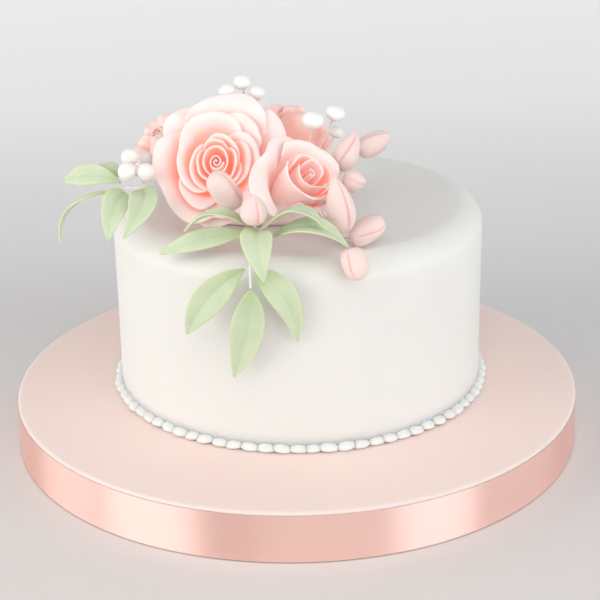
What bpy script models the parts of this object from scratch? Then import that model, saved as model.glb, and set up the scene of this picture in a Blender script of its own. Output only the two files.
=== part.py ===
"""Ribbon cake: an iced cake on an iced drum with a ribbon edge, a pearl border and sugar flowers.

Units are metres and +Z is up.  The origin is under the middle of the drum.
The front, where the flowers hang over the rim, faces -Y.
"""

import math
import random

import bmesh
import bpy
from collections import namedtuple
from mathutils import Matrix, Vector

# turn and wrap are a petal's middle and half its spread in degrees, lip the radius of its top
# edge, and flare runs from 0 for an upright petal to 1 for one that rolls out.
Petal = namedtuple("Petal", "turn lip height wrap flare rows columns")

MM = 0.001
GAP = 0.3 * MM
SEED = 7

# Drum (the covered board), its icing and the ribbon round its edge
DRUM_RADIUS = 100.9 * MM
DRUM_HEIGHT = 13.0 * MM
BOARD_ICING_BOTTOM = DRUM_HEIGHT + GAP
BOARD_ICING_TOP = 18.1 * MM
BOARD_EDGE_ROUND = 1.8 * MM
BOARD_SEGMENTS = 64
RIBBON_INNER = DRUM_RADIUS + GAP
RIBBON_THICKNESS = 0.4 * MM
RIBBON_BOTTOM = 0.4 * MM
RIBBON_TOP = 16.9 * MM
RIBBON_LAP_START = 2 * math.pi * 7 / BOARD_SEGMENTS
RIBBON_LAP_STEPS = 3
RIBBON_LAP_RISE = 0.6 * MM

# Cake
CAKE_CENTRE = Vector((1.45, 6.0, 0.0)) * MM
CAKE_RADIUS = 65.7 * MM
CAKE_BOTTOM = BOARD_ICING_TOP + GAP
CAKE_TOP = 85.0 * MM
CAKE_SHOULDER_DROP = 8.0 * MM
CAKE_SHOULDER_WIDTH = 13.0 * MM
CAKE_SHOULDER_POWER = 2.4
CAKE_SHOULDER_STEPS = 5
CAKE_SEGMENTS = 48

# Border of piped pearls
PEARL_COUNT = 77
PEARL_RADIUS = 1.55 * MM
PEARL_WAIST = 1.1 * MM
PEARL_RING_RADIUS = 67.6 * MM
PEARL_UNEVENNESS = 0.07

# Sugarpaste mound that the stems are pushed into
MOUND_CENTRE = Vector((-10.0, -10.0, 0.0)) * MM + Vector((0, 0, CAKE_TOP + GAP))
MOUND_RADII = (23.0 * MM, 13.0 * MM, 10.0 * MM)
MOUND_SEGMENTS = 16
MOUND_RINGS = 4

# Sugar flowers and foliage
PETAL_THICKNESS = 0.7 * MM
PETAL_TUCK = 0.6 * MM
PETAL_ROUNDING = 0.2
HEART_RADIUS = 2.2 * MM
HEART_SIDES = 7
CALYX_RADIUS = 4.4 * MM
STEM_RADIUS = 0.6 * MM
WIRE_RADIUS = 0.3 * MM
SPRAY_WIRE_RADIUS = 0.35 * MM
WIRE_SIDES = 4
LEAF_THICKNESS = 0.7 * MM
LEAF_ROWS = 6
LEAF_FOLD = 0.12
LEAF_WAVE = 0.4 * MM
BUD_SIDES = 8
BUD_RINGS = 5
WIRE_SPACING = 0.8 * MM


def clear_scene():
    for item in list(bpy.data.objects):
        bpy.data.objects.remove(item, do_unlink=True)


def make_material(name, colour, roughness=0.6, metallic=0.0):
    material = bpy.data.materials.new(name)
    material.use_nodes = True
    shader = material.node_tree.nodes["Principled BSDF"]
    shader.inputs["Base Color"].default_value = (*colour, 1.0)
    shader.inputs["Roughness"].default_value = roughness
    shader.inputs["Metallic"].default_value = metallic
    return material


def make_materials():
    return {
        "foil": make_material("silver_foil_board", (0.72, 0.72, 0.74), 0.35, 0.9),
        "pink_icing": make_material("pink_icing", (0.86, 0.68, 0.64), 0.5),
        "ribbon": make_material("satin_ribbon", (0.85, 0.45, 0.35), 0.3),
        "white_icing": make_material("white_icing", (0.91, 0.88, 0.82), 0.5),
        "petal": make_material("petal_paste", (0.93, 0.62, 0.55), 0.6),
        "bud": make_material("bud_paste", (0.92, 0.72, 0.68), 0.6),
        "leaf": make_material("leaf_paste", (0.62, 0.74, 0.52), 0.6),
        "berry": make_material("berry_paste", (0.95, 0.94, 0.92), 0.35),
        "wire": make_material("paper_wire", (0.93, 0.93, 0.93), 0.6),
    }


def place(name, mesh, material, parent=None, matrix=Matrix.Identity(4)):
    """Links a new object for the mesh, smooth where it is round."""
    mesh.shade_smooth()
    mesh.set_sharp_from_angle(angle=math.radians(40))
    item = bpy.data.objects.new(name, mesh)
    bpy.context.scene.collection.objects.link(item)
    item.data.materials.append(material)
    item.parent = parent
    item.matrix_world = matrix
    return item


def point(x, y, z):
    """A place in the posy, given in millimetres."""
    return Vector((x, y, z)) * MM


def mesh_from(vertices, faces, name):
    mesh = bpy.data.meshes.new(name)
    mesh.from_pydata(vertices, [], faces)
    mesh.update()
    return mesh


def bezier(amount, values):
    """Cubic curve through the first and last of four values."""
    rest = 1.0 - amount
    weights = (rest ** 3, 3 * rest ** 2 * amount, 3 * rest * amount ** 2, amount ** 3)
    return sum(weight * value for weight, value in zip(weights, values))


# ---------------------------------------------------------------- cake and drum

def turned(name, profile, segments, material, centre=Vector()):
    """Turns a profile of (radius, height) points, listed from the top down, about +Z."""
    vertices = [(radius, 0.0, height) for radius, height in profile]
    edges = [(i, i + 1) for i in range(len(vertices) - 1)]
    mesh = bpy.data.meshes.new(name)
    mesh.from_pydata(vertices, edges, [])
    item = bpy.data.objects.new(name, mesh)
    item.location = centre
    item.data.materials.append(material)
    bpy.context.scene.collection.objects.link(item)
    screw = item.modifiers.new("turn", 'SCREW')
    screw.steps = segments
    screw.render_steps = segments
    screw.use_merge_vertices = True
    screw.merge_threshold = 0.00001
    return item


def rounded_corner(radius, top, across, down, power, steps):
    """Points of a soft shoulder, from the flat top out to the side wall."""
    points = []
    for step in range(steps + 1):
        turn = 0.5 * math.pi * step / steps
        out = math.sin(turn) ** (2.0 / power)
        fall = 1.0 - math.cos(turn) ** (2.0 / power)
        points.append((radius - across + across * out, top - down * fall))
    return points


def make_drum(material):
    profile = [(0.0, DRUM_HEIGHT), (DRUM_RADIUS, DRUM_HEIGHT), (DRUM_RADIUS, 0.0), (0.0, 0.0)]
    turned("drum_board", profile, BOARD_SEGMENTS, material)


def make_board_icing(material):
    corner = rounded_corner(DRUM_RADIUS, BOARD_ICING_TOP, BOARD_EDGE_ROUND, BOARD_EDGE_ROUND, 2.0, 2)
    foot = [(DRUM_RADIUS, BOARD_ICING_BOTTOM), (0.0, BOARD_ICING_BOTTOM)]
    turned("board_icing", [(0.0, BOARD_ICING_TOP)] + corner + foot, BOARD_SEGMENTS, material)


def make_ribbon(material):
    """A band once round the drum, whose end lies over its start."""
    mesh = bmesh.new()
    previous = None
    for step in range(BOARD_SEGMENTS + RIBBON_LAP_STEPS + 1):
        angle = RIBBON_LAP_START + 2 * math.pi * step / BOARD_SEGMENTS
        lapped = max(0, step - BOARD_SEGMENTS + 2)
        inner = RIBBON_INNER + RIBBON_LAP_RISE * min(1.0, lapped / 2)
        ring = []
        for radius, height in ((inner, RIBBON_BOTTOM), (inner + RIBBON_THICKNESS, RIBBON_BOTTOM),
                               (inner + RIBBON_THICKNESS, RIBBON_TOP), (inner, RIBBON_TOP)):
            ring.append(mesh.verts.new((radius * math.cos(angle), radius * math.sin(angle), height)))
        if previous is None:
            mesh.faces.new(ring)
        else:
            for side in range(4):
                following = (side + 1) % 4
                mesh.faces.new((previous[side], ring[side], ring[following], previous[following]))
        previous = ring
    mesh.faces.new(reversed(previous))
    bmesh.ops.recalc_face_normals(mesh, faces=mesh.faces)
    data = bpy.data.meshes.new("ribbon")
    mesh.to_mesh(data)
    mesh.free()
    place("ribbon", data, material)


def make_cake(material):
    shoulder = rounded_corner(CAKE_RADIUS, CAKE_TOP, CAKE_SHOULDER_WIDTH, CAKE_SHOULDER_DROP,
                              CAKE_SHOULDER_POWER, CAKE_SHOULDER_STEPS)
    foot = [(CAKE_RADIUS, CAKE_BOTTOM), (0.0, CAKE_BOTTOM)]
    turned("cake", [(0.0, CAKE_TOP)] + shoulder + foot, CAKE_SEGMENTS, material, CAKE_CENTRE)


def make_pearl_border(material):
    """A string of pearls of uneven size, piped round the cake's foot."""
    draw = random.Random(SEED)
    curve = bpy.data.curves.new("pearl_border", 'CURVE')
    curve.dimensions = '3D'
    curve.bevel_depth = PEARL_RADIUS
    curve.bevel_resolution = 1
    spline = curve.splines.new('POLY')
    spline.points.add(3 * PEARL_COUNT - 1)
    height = BOARD_ICING_TOP + GAP + PEARL_RADIUS
    for pearl in range(PEARL_COUNT):
        size = 1.0 - PEARL_UNEVENNESS * draw.random()
        for part, width in enumerate((PEARL_WAIST / PEARL_RADIUS, size, size)):
            angle = 2 * math.pi * (pearl + part / 3) / PEARL_COUNT
            place_on_ring = spline.points[3 * pearl + part]
            place_on_ring.co = (PEARL_RING_RADIUS * math.cos(angle),
                                PEARL_RING_RADIUS * math.sin(angle), height, 1.0)
            place_on_ring.radius = width
    spline.use_cyclic_u = True
    item = bpy.data.objects.new("pearl_border", curve)
    item.location = CAKE_CENTRE
    item.data.materials.append(material)
    bpy.context.scene.collection.objects.link(item)


def make_mound(material):
    """A low dome of paste on the cake, under the flowers."""
    mesh = bmesh.new()
    rings = []
    for ring in range(MOUND_RINGS):
        tilt = 0.5 * math.pi * ring / MOUND_RINGS
        rings.append([mesh.verts.new((MOUND_RADII[0] * math.cos(tilt) * math.cos(turn),
                                      MOUND_RADII[1] * math.cos(tilt) * math.sin(turn),
                                      MOUND_RADII[2] * math.sin(tilt)))
                      for turn in (2 * math.pi * i / MOUND_SEGMENTS for i in range(MOUND_SEGMENTS))])
    peak = mesh.verts.new((0.0, 0.0, MOUND_RADII[2]))
    mesh.faces.new(reversed(rings[0]))
    for lower, upper in zip(rings, rings[1:]):
        for i in range(MOUND_SEGMENTS):
            j = (i + 1) % MOUND_SEGMENTS
            mesh.faces.new((lower[i], lower[j], upper[j], upper[i]))
    for i in range(MOUND_SEGMENTS):
        mesh.faces.new((rings[-1][i], rings[-1][(i + 1) % MOUND_SEGMENTS], peak))
    data = bpy.data.meshes.new("posy_paste")
    mesh.to_mesh(data)
    mesh.free()
    place("posy_paste", data, material, matrix=Matrix.Translation(MOUND_CENTRE))


# ---------------------------------------------------------------- joining tools

def keep_outer_shell(mesh):
    """Drops loose scraps and the walls of sealed hollows, and keeps the largest shell."""
    work = bmesh.new()
    work.from_mesh(mesh)
    waiting = set(work.verts)
    shells = []
    while waiting:
        shell = set()
        front = [waiting.pop()]
        while front:
            vertex = front.pop()
            shell.add(vertex)
            for edge in vertex.link_edges:
                other = edge.other_vert(vertex)
                if other in waiting:
                    waiting.remove(other)
                    front.append(other)
        shells.append(shell)
    largest = max(shells, key=len)
    extra = [vertex for shell in shells if shell is not largest for vertex in shell]
    bmesh.ops.delete(work, geom=extra, context='VERTS')
    bmesh.ops.triangulate(work, faces=work.faces)
    work.to_mesh(mesh)
    work.free()


def fuse(body, pieces):
    """Joins closed pieces to the body by one Boolean union, and removes them."""
    group = bpy.data.collections.new("pieces")
    bpy.context.scene.collection.children.link(group)
    for piece in pieces:
        bpy.context.scene.collection.objects.unlink(piece)
        group.objects.link(piece)
    union = body.modifiers.new("union", 'BOOLEAN')
    union.operation = 'UNION'
    union.operand_type = 'COLLECTION'
    union.collection = group
    union.solver = 'MANIFOLD'
    bpy.context.view_layer.update()
    evaluated = body.evaluated_get(bpy.context.evaluated_depsgraph_get())
    mesh = bpy.data.meshes.new_from_object(evaluated)
    body.modifiers.clear()
    body.data = mesh
    keep_outer_shell(mesh)
    for piece in pieces:
        bpy.data.objects.remove(piece, do_unlink=True)
    bpy.data.collections.remove(group)


def axes_facing(direction):
    """Right, up and outward axes for something that faces along the direction."""
    outward = direction.normalized()
    up = Vector((0, 0, 1)) - outward * outward.z
    if up.length < 0.05:
        up = Vector((0, 1, 0))
    up = (up - outward * up.dot(outward)).normalized()
    return up.cross(outward), up, outward


def frame_at(origin, direction):
    """A matrix that puts local +Z along the direction, with local +Y as near up as it can be."""
    right, up, outward = axes_facing(direction)
    turn = Matrix((right, up, outward)).transposed().to_4x4()
    return Matrix.Translation(origin) @ turn


def on_mound(x, y):
    """A place just above the mound's surface, for the foot of a stem, from millimetres."""
    across = (x * MM - MOUND_CENTRE.x) / MOUND_RADII[0]
    along = (y * MM - MOUND_CENTRE.y) / MOUND_RADII[1]
    rise = MOUND_RADII[2] * math.sqrt(1.0 - across ** 2 - along ** 2)
    return Vector((x * MM, y * MM, MOUND_CENTRE.z + rise + 2 * GAP))


def rod(path, radius, sides=WIRE_SIDES):
    """A closed rod mesh through the points of a path."""
    vertices = []
    for i, here in enumerate(path):
        along = path[min(i + 1, len(path) - 1)] - path[max(i - 1, 0)]
        right, up, _ = axes_facing(along)
        for side in range(sides):
            turn = 2 * math.pi * side / sides
            vertices.append(here + radius * (math.cos(turn) * right + math.sin(turn) * up))
    faces = [tuple(reversed(range(sides)))]
    for i in range(len(path) - 1):
        for side in range(sides):
            following = (side + 1) % sides
            faces.append((i * sides + side, i * sides + following,
                          (i + 1) * sides + following, (i + 1) * sides + side))
    faces.append(tuple((len(path) - 1) * sides + side for side in range(sides)))
    return mesh_from(vertices, faces, "rod")


def smooth_path(points, steps):
    """Points along a rounded curve through the given points."""
    path = []
    padded = [2 * points[0] - points[1]] + points + [2 * points[-1] - points[-2]]
    for before, start, end, after in zip(padded, padded[1:], padded[2:], padded[3:]):
        for step in range(steps):
            t = step / steps
            path.append(0.5 * (2 * start + (end - before) * t
                               + (2 * before - 5 * start + 4 * end - after) * t ** 2
                               + (3 * start - before - 3 * end + after) * t ** 3))
    path.append(points[-1])
    return path


# ---------------------------------------------------------------- roses

def petal_mesh(petal):
    """One petal as an open sheet round local +Z."""
    lip, height, flare = petal.lip, petal.height, petal.flare
    root = 0.25 * CALYX_RADIUS + 0.14 * lip
    radii = (root, lip * (1.05 - 0.25 * flare), lip * (0.92 - 0.34 * flare), lip)
    heights = (0.6 * CALYX_RADIUS - 0.14 * lip, height * 0.1, height * (0.85 + 0.3 * flare),
               height * (1.0 - 0.1 * flare))
    vertices = []
    for row in range(petal.rows + 1):
        up = row / petal.rows
        spread = math.radians(petal.wrap) * (0.4 + 0.6 * math.sin(0.5 * math.pi * min(1.0, 1.4 * up)))
        for column in range(petal.columns + 1):
            across = 2 * column / petal.columns - 1
            reach = up * (1.0 - PETAL_ROUNDING * abs(across) ** 3)
            angle = math.radians(petal.turn) + across * spread
            radius = bezier(reach, radii) + PETAL_TUCK * across
            vertices.append((radius * math.cos(angle), radius * math.sin(angle),
                             bezier(reach, heights)))
    faces = []
    width = petal.columns + 1
    for row in range(petal.rows):
        for column in range(petal.columns):
            corner = row * width + column
            faces.append((corner, corner + 1, corner + width + 1))
            faces.append((corner, corner + width + 1, corner + width))
    return mesh_from(vertices, faces, "petal")


def make_petal(petal, material, matrix):
    item = place("petal", petal_mesh(petal), material, matrix=matrix)
    solidify = item.modifiers.new("thickness", 'SOLIDIFY')
    solidify.thickness = PETAL_THICKNESS
    solidify.offset = 0.0
    return item


def petal_ring(count, first, lip, height, wrap, flare, rows=3, columns=3):
    """Petals spread evenly round the rose, the first one at the given angle, sizes in millimetres."""
    return [Petal(first + 360 * i / count, lip * MM, height * MM, wrap, flare, rows, columns)
            for i in range(count)]


def outer_petals(shapes, wrap, flare):
    """The open outer petals, each with its own angle, lip radius and height in millimetres."""
    return [Petal(turn, lip * MM, height * MM, wrap, flare, 4, 3) for turn, lip, height in shapes]


def heart_mesh(radius, height):
    """The rolled cone in the middle of a rose, with the calyx under it."""
    profile = ((CALYX_RADIUS, -0.3 * CALYX_RADIUS), (CALYX_RADIUS, 0.3 * CALYX_RADIUS),
               (radius, 0.5 * height), (radius, 0.85 * height), (0.35 * radius, height))
    rings = len(profile)
    vertices = []
    for ring_radius, ring_height in profile:
        for side in range(HEART_SIDES):
            turn = 2 * math.pi * side / HEART_SIDES
            vertices.append((ring_radius * math.cos(turn), ring_radius * math.sin(turn), ring_height))
    bottom = len(vertices)
    vertices += [(0.0, 0.0, -0.8 * CALYX_RADIUS), (0.0, 0.0, height)]
    faces = []
    for side in range(HEART_SIDES):
        following = (side + 1) % HEART_SIDES
        high = (rings - 1) * HEART_SIDES
        faces.append((following, side, bottom))
        faces.append((high + side, high + following, bottom + 1))
        for ring in range(rings - 1):
            low = ring * HEART_SIDES
            faces.append((low + side, low + following, low + HEART_SIDES + following, low + HEART_SIDES + side))
    return mesh_from(vertices, faces, "heart")


def make_rose(name, centre, direction, depth, petals, heart_height, stem_end, material):
    """A rose round its heart: depth is how far the calyx lies behind the centre."""
    base = centre - direction.normalized() * depth
    matrix = frame_at(base, direction)
    rose = place(name, heart_mesh(HEART_RADIUS, heart_height * MM), material, matrix=matrix)
    pieces = [make_petal(petal, material, matrix) for petal in petals]
    start = base - direction.normalized() * (0.5 * CALYX_RADIUS)
    pieces.append(place("stem", rod([start, stem_end], STEM_RADIUS), material))
    fuse(rose, pieces)


def make_roses(material):
    open_petals = petal_ring(3, 40, 4.8, 16.5, 78, 0.15) + petal_ring(3, 100, 8.2, 16.4, 66, 0.35)
    open_petals += petal_ring(4, 25, 13.0, 15.4, 56, 0.7)
    open_petals += outer_petals(((42, 22.8, 12.0), (96, 23.2, 12.5), (152, 22.8, 12.5), (210, 23.2, 12.0),
                                 (258, 23.2, 11.5), (318, 16.0, 11.0)), 42, 1.0)
    make_rose("rose_open", point(-25.0, -23.0, 108.8), Vector((-0.05, -0.79, 0.62)), 11 * MM,
              open_petals, 16.5, on_mound(-18, -11), material)

    half_open = petal_ring(2, 30, 4.6, 23.0, 85, 0.1) + petal_ring(3, 250, 8.0, 22.0, 70, 0.3)
    half_open += outer_petals(((170, 21.0, 17.0), (215, 17.5, 17.0), (266, 12.0, 19), (325, 12.0, 20),
                               (30, 13.5, 20), (108, 15.5, 20)), 46, 0.7)
    make_rose("rose_half_open", point(1.6, -35.0, 103.1), Vector((0.525, -0.525, 0.669)), 12 * MM,
              half_open, 23.5, on_mound(-4, -17), material)

    inner_petals = petal_ring(2, 20, 6.0, 17.0, 85, 0.2)
    left_petals = outer_petals(((50, 10.0, 15), (122, 12.5, 15), (194, 12.5, 15), (266, 12.0, 15),
                                (338, 9.0, 14)), 44, 0.8)
    make_rose("rose_back_left", point(-41.5, -3.0, 106.5), Vector((-0.49, -0.41, 0.77)), 9 * MM,
              inner_petals + left_petals, 17.0, on_mound(-26, -6), material)
    right_petals = outer_petals([(60 + 90 * i, 12.5, 15) for i in range(4)], 54, 0.8)
    make_rose("rose_back_right", point(0.5, -1.0, 108.0), Vector((0.37, -0.53, 0.77)), 9 * MM,
              inner_petals + right_petals, 17.0, on_mound(-4, -5), material)


# ---------------------------------------------------------------- leaves, buds and berries

def leaf_width(along, widest):
    """Half-width of a leaf, as a share of its greatest, which lies at widest along it."""
    along = min(along, 0.985)
    return max(0.06, math.sin(math.pi * along ** (math.log(0.5) / math.log(widest))) ** 0.8)


def make_leaf(name, base, middle, tip, facing, width, widest, material):
    """A thin leaf along a curve through three points, folded a little at its midrib."""
    control = 2 * middle - 0.5 * (base + tip)
    vertices = []
    for row in range(LEAF_ROWS + 1):
        along = row / LEAF_ROWS
        centre = (1 - along) ** 2 * base + 2 * along * (1 - along) * control + along ** 2 * tip
        forward = ((1 - along) * (control - base) + along * (tip - control)).normalized()
        side = forward.cross(facing).normalized()
        normal = side.cross(forward)
        share = leaf_width(along, widest)
        for across in (-1, 0, 1):
            lift = LEAF_FOLD * width * abs(across) + LEAF_WAVE * across * math.sin(2 * math.pi * along)
            vertices.append(centre + (side * 0.5 * width * across + normal * lift) * share)
    faces = []
    for row in range(LEAF_ROWS):
        for column in range(2):
            corner = 3 * row + column
            faces.append((corner, corner + 1, corner + 4))
            faces.append((corner, corner + 4, corner + 3))
    leaf = place(name, mesh_from(vertices, faces, name), material)
    solidify = leaf.modifiers.new("thickness", 'SOLIDIFY')
    solidify.thickness = LEAF_THICKNESS
    solidify.offset = 0.0


def make_leaves(material):
    """Each leaf by its base, middle and tip, the side it shows, its width and its widest place."""
    level = Vector((0, 0.05, 1.0))
    sloping = Vector((0, -0.35, 0.94))
    forward = Vector((0, -0.85, 0.5))
    outward = Vector((0, -1, 0.1))
    sideways = Vector((-0.8, 0.1, 0.6))
    leaves = (
        ("leaf_front_1", (-14.5, -52, 95.3), (-25.5, -52, 99.9), (-35.4, -52, 93.9), level, 8, 0.45),
        ("leaf_front_2", (-15, -51, 92.6), (-29.5, -50, 90.6), (-44.2, -47, 84.6), forward, 7, 0.5),
        ("leaf_front_3", (-11.9, -54.5, 94.9), (-11.8, -62, 92.7), (-9.8, -68.5, 82.3), forward, 10.5, 0.4),
        ("leaf_front_4", (-9.5, -57, 96.5), (1.4, -59, 102.7), (9.6, -60, 96.9), level, 8, 0.5),
        ("leaf_front_5", (-7.5, -54.5, 92.0), (5.8, -57.5, 96.9), (17.2, -57.5, 89.7), sloping, 8, 0.45),
        ("leaf_drop_1", (-15.8, -62.5, 84.8), (-26.9, -63, 76.2), (-35.2, -62, 62.3), outward, 10.5, 0.52),
        ("leaf_drop_2", (-14.2, -63.5, 78.0), (-15.9, -64, 63.6), (-20.5, -62, 46.8), outward, 11, 0.45),
        ("leaf_drop_3", (-12.6, -62.5, 83.7), (-3.5, -63, 75.0), (0.6, -62, 58.9), outward, 9.5, 0.42),
        ("leaf_left_1", (-57, -30, 103.6), (-66.9, -27, 105.7), (-76.8, -24, 102.4), forward, 7.5, 0.55),
        ("leaf_left_2", (-58.2, -31.5, 101.2), (-73.0, -33, 97.0), (-77.9, -36, 85.0), sideways, 5, 0.5),
        ("leaf_left_3", (-55.8, -33, 101.5), (-58.9, -39.5, 98.0), (-61.0, -44, 88.0), forward, 9, 0.38),
        ("leaf_left_4", (-49.5, -33.5, 102.6), (-49.8, -41, 98.9), (-55.8, -46, 89.7), forward, 9.5, 0.36),
        ("leaf_left_5", (-58, -25, 104.2), (-62.3, -20, 106.0), (-66.9, -12, 104.0), sloping, 6, 0.5),
    )
    for name, base, middle, tip, facing, width, widest in leaves:
        make_leaf(name, point(*base), point(*middle), point(*tip), facing, width * MM, widest, material)


def bud_mesh(length, radius):
    """A closed rosebud along +Z, blunt at the base and pointed at the tip."""
    vertices = [(0.0, 0.0, 0.0)]
    for ring in range(1, BUD_RINGS):
        along = ring / BUD_RINGS
        swell = math.sin(math.pi * along ** 0.72) ** 0.75
        for side in range(BUD_SIDES):
            turn = 2 * math.pi * side / BUD_SIDES
            reach = radius * swell * (1.0 + 0.05 * math.cos(3 * turn))
            vertices.append((reach * math.cos(turn), reach * math.sin(turn), length * along))
    vertices.append((0.0, 0.0, length))
    last = len(vertices) - 1
    faces = []
    for side in range(BUD_SIDES):
        following = (side + 1) % BUD_SIDES
        faces.append((0, 1 + following, 1 + side))
        top = 1 + (BUD_RINGS - 2) * BUD_SIDES
        faces.append((top + side, top + following, last))
        for ring in range(BUD_RINGS - 2):
            low = 1 + ring * BUD_SIDES
            high = low + BUD_SIDES
            faces.append((low + side, low + following, high + following, high + side))
    return mesh_from(vertices, faces, "bud")


def make_bud(name, base, tip, radius, stem_path, material):
    direction = tip - base
    bud = place(name, bud_mesh(direction.length, radius), material, matrix=frame_at(base, direction))
    start = base + direction * 0.2
    fuse(bud, [place("stem", rod([start] + stem_path, WIRE_RADIUS), material)])


def make_buds(material):
    """Each bud by its base, tip and radius, with the way its wire takes to the mound."""
    buds = (
        ("bud_1", (-18.8, -44, 99.6), (-25.7, -48, 111.9), 4.0, (-13, -40, 96), (-9, -20)),
        ("bud_2", (-12.8, -55, 97.1), (-12.5, -57, 107.9), 4.4, (-12.4, -53, 95.0), None),
        ("bud_3", (16.8, -49, 91.8), (13.1, -50, 111.2), 4.6, (15, -44, 88.2), (4, -15)),
        ("bud_4", (15.4, -24, 104.5), (21.7, -19, 117.2), 4.3, (12, -18, 98), (7, -11)),
        ("bud_5", (22.4, -8, 106.1), (33.4, -3, 110.8), 4.0, (15, -8, 97), (8, -8)),
        ("bud_6", (16.4, -33, 104.3), (24.1, -31, 102.8), 3.8, (14, -24, 95), (6, -13)),
        ("bud_7", (18.5, -46, 88.0), (29.5, -42, 93.2), 4.2, (12, -38, 86.4), (2, -17)),
        ("bud_8", (17.8, -58, 89.6), (20.7, -63, 80.5), 4.2, (18, -47, 85.9), (7.5, -16)),
    )
    for name, base, tip, radius, bend, foot in buds:
        stem_path = [point(*bend)] + ([on_mound(*foot)] if foot else [])
        make_bud(name, point(*base), point(*tip), radius * MM, stem_path, material)


def make_berry(name, centre, radius, joint, material):
    """A berry on its wire, which runs from the middle of the berry to the cluster's joint."""
    work = bmesh.new()
    bmesh.ops.create_icosphere(work, subdivisions=2, radius=radius)
    mesh = bpy.data.meshes.new(name)
    work.to_mesh(mesh)
    work.free()
    berry = place(name, mesh, material, matrix=Matrix.Translation(centre))
    fuse(berry, [place("stem", rod([centre, joint], WIRE_RADIUS), material)])


def make_berries(material):
    """Each cluster's berries by centre and radius, with the joint that their wires run to."""
    clusters = (
        ("berry_left", point(-50, -26, 102), (((-54.5, -22, 110.1), 3.1), ((-54.9, -30, 107.7), 3.2),
                                              ((-48.6, -30, 107.3), 3.1), ((-49.4, -17, 107.7), 2.5))),
        ("berry_top", on_mound(-13, -2), (((-22.0, -5, 127.6), 2.8), ((-16.8, -3, 130.2), 2.9),
                                          ((-11.8, -5, 126.7), 2.8))),
        ("berry_right", on_mound(3, -13), (((7.0, -19, 120.9), 3.5), ((14.6, -15, 122.1), 3.2),
                                           ((14.8, -11, 114.3), 2.6))),
    )
    for cluster, joint, berries in clusters:
        for number, (centre, radius) in enumerate(berries):
            foot = joint + WIRE_SPACING * number * Vector((1, 1, 0))
            make_berry(f"{cluster}_{number + 1}", point(*centre), radius * MM, foot, material)


def make_wires(material):
    """Wires that carry the leaf sprays out of the mound and over the rim."""
    wires = (
        ("wire_front", ((-9, -24, 87.6), (-11, -40, 90), (-12.5, -51, 93.5))),
        ("wire_drop", ((-12.8, -52.5, 91.8), (-13.6, -59, 89.0), (-14.2, -62.8, 85.0), (-14.2, -63.4, 78.6))),
        ("wire_left", ((-27, -17, 91), (-42, -23, 98), (-50, -28, 101), (-55.5, -31, 102.2))),
    )
    for name, points in wires:
        path = smooth_path([point(*place_on_wire) for place_on_wire in points], 3)
        place(name, rod(path, SPRAY_WIRE_RADIUS, 5), material)


def main():
    clear_scene()
    materials = make_materials()
    make_drum(materials["foil"])
    make_board_icing(materials["pink_icing"])
    make_ribbon(materials["ribbon"])
    make_cake(materials["white_icing"])
    make_pearl_border(materials["white_icing"])
    make_mound(materials["petal"])
    make_roses(materials["petal"])
    make_leaves(materials["leaf"])
    make_buds(materials["bud"])
    make_berries(materials["berry"])
    make_wires(materials["wire"])


main()
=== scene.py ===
"""Ribbon cake: an iced cake on a pink iced drum with a satin ribbon edge, a border of piped pearls
and a posy of sugar roses, rosebuds, berries and leaves.

Every size is in metres unless its name or note says millimetres, +Z is up and the front faces -Y.
"""

import math
import random
from collections import namedtuple

import bpy
from mathutils import Matrix, Vector, noise


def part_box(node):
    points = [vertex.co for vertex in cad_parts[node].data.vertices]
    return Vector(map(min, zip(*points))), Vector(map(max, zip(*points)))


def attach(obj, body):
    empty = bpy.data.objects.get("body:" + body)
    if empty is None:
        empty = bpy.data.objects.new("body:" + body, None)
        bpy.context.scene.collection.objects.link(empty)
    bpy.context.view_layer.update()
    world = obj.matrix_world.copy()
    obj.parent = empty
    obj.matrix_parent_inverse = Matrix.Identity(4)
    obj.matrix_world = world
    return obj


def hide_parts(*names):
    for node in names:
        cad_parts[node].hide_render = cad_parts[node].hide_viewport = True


bl_info = {
    "name": "Ribbon cake",
    "version": (1, 0, 0),
    "blender": (4, 2, 0),
    "location": "3D View > Sidebar > Ribbon cake",
    "description": "Makes an iced cake on a ribboned drum with a posy of sugar flowers",
    "category": "Add Mesh",
}

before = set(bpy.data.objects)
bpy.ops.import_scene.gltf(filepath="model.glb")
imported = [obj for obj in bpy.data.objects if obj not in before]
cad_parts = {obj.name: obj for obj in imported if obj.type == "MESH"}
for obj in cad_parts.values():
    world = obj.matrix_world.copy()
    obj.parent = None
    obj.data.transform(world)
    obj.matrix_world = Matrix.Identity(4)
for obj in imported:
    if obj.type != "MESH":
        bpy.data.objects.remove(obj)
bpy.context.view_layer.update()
BOARD_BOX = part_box("board_icing")
RIBBON_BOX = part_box("ribbon")
CAKE_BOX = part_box("cake")

MM = 0.001
SEED = 7

# Board icing and ribbon
BOARD_SIDES = 192
BOARD_EDGE_ROUND = 1.4 * MM
BOARD_EDGE_PROUD = 0.55 * MM
BOARD_EDGE_STEPS = 6
BOARD_UNEVENNESS = 0.12 * MM
RIBBON_INNER = 101.2 * MM
RIBBON_THICKNESS = 0.4 * MM
RIBBON_LAP_START = 2 * math.pi * 7 / 64
RIBBON_LAP = 2 * math.pi * 3 / 64
RIBBON_LAP_RISE = 0.6 * MM
RIBBON_GRID = (268, 5)

# Cake
CAKE_SIDES = 160
CAKE_CENTRE = Vector((1.45, 6.0, 0.0)) * MM
WALL_STEPS = 10
SHOULDER_DROP = 8.0 * MM
SHOULDER_WIDTH = 9.0 * MM
SHOULDER_POWER = 1.85
SHOULDER_STEPS = 14
CAKE_UNEVENNESS = 0.35 * MM

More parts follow.
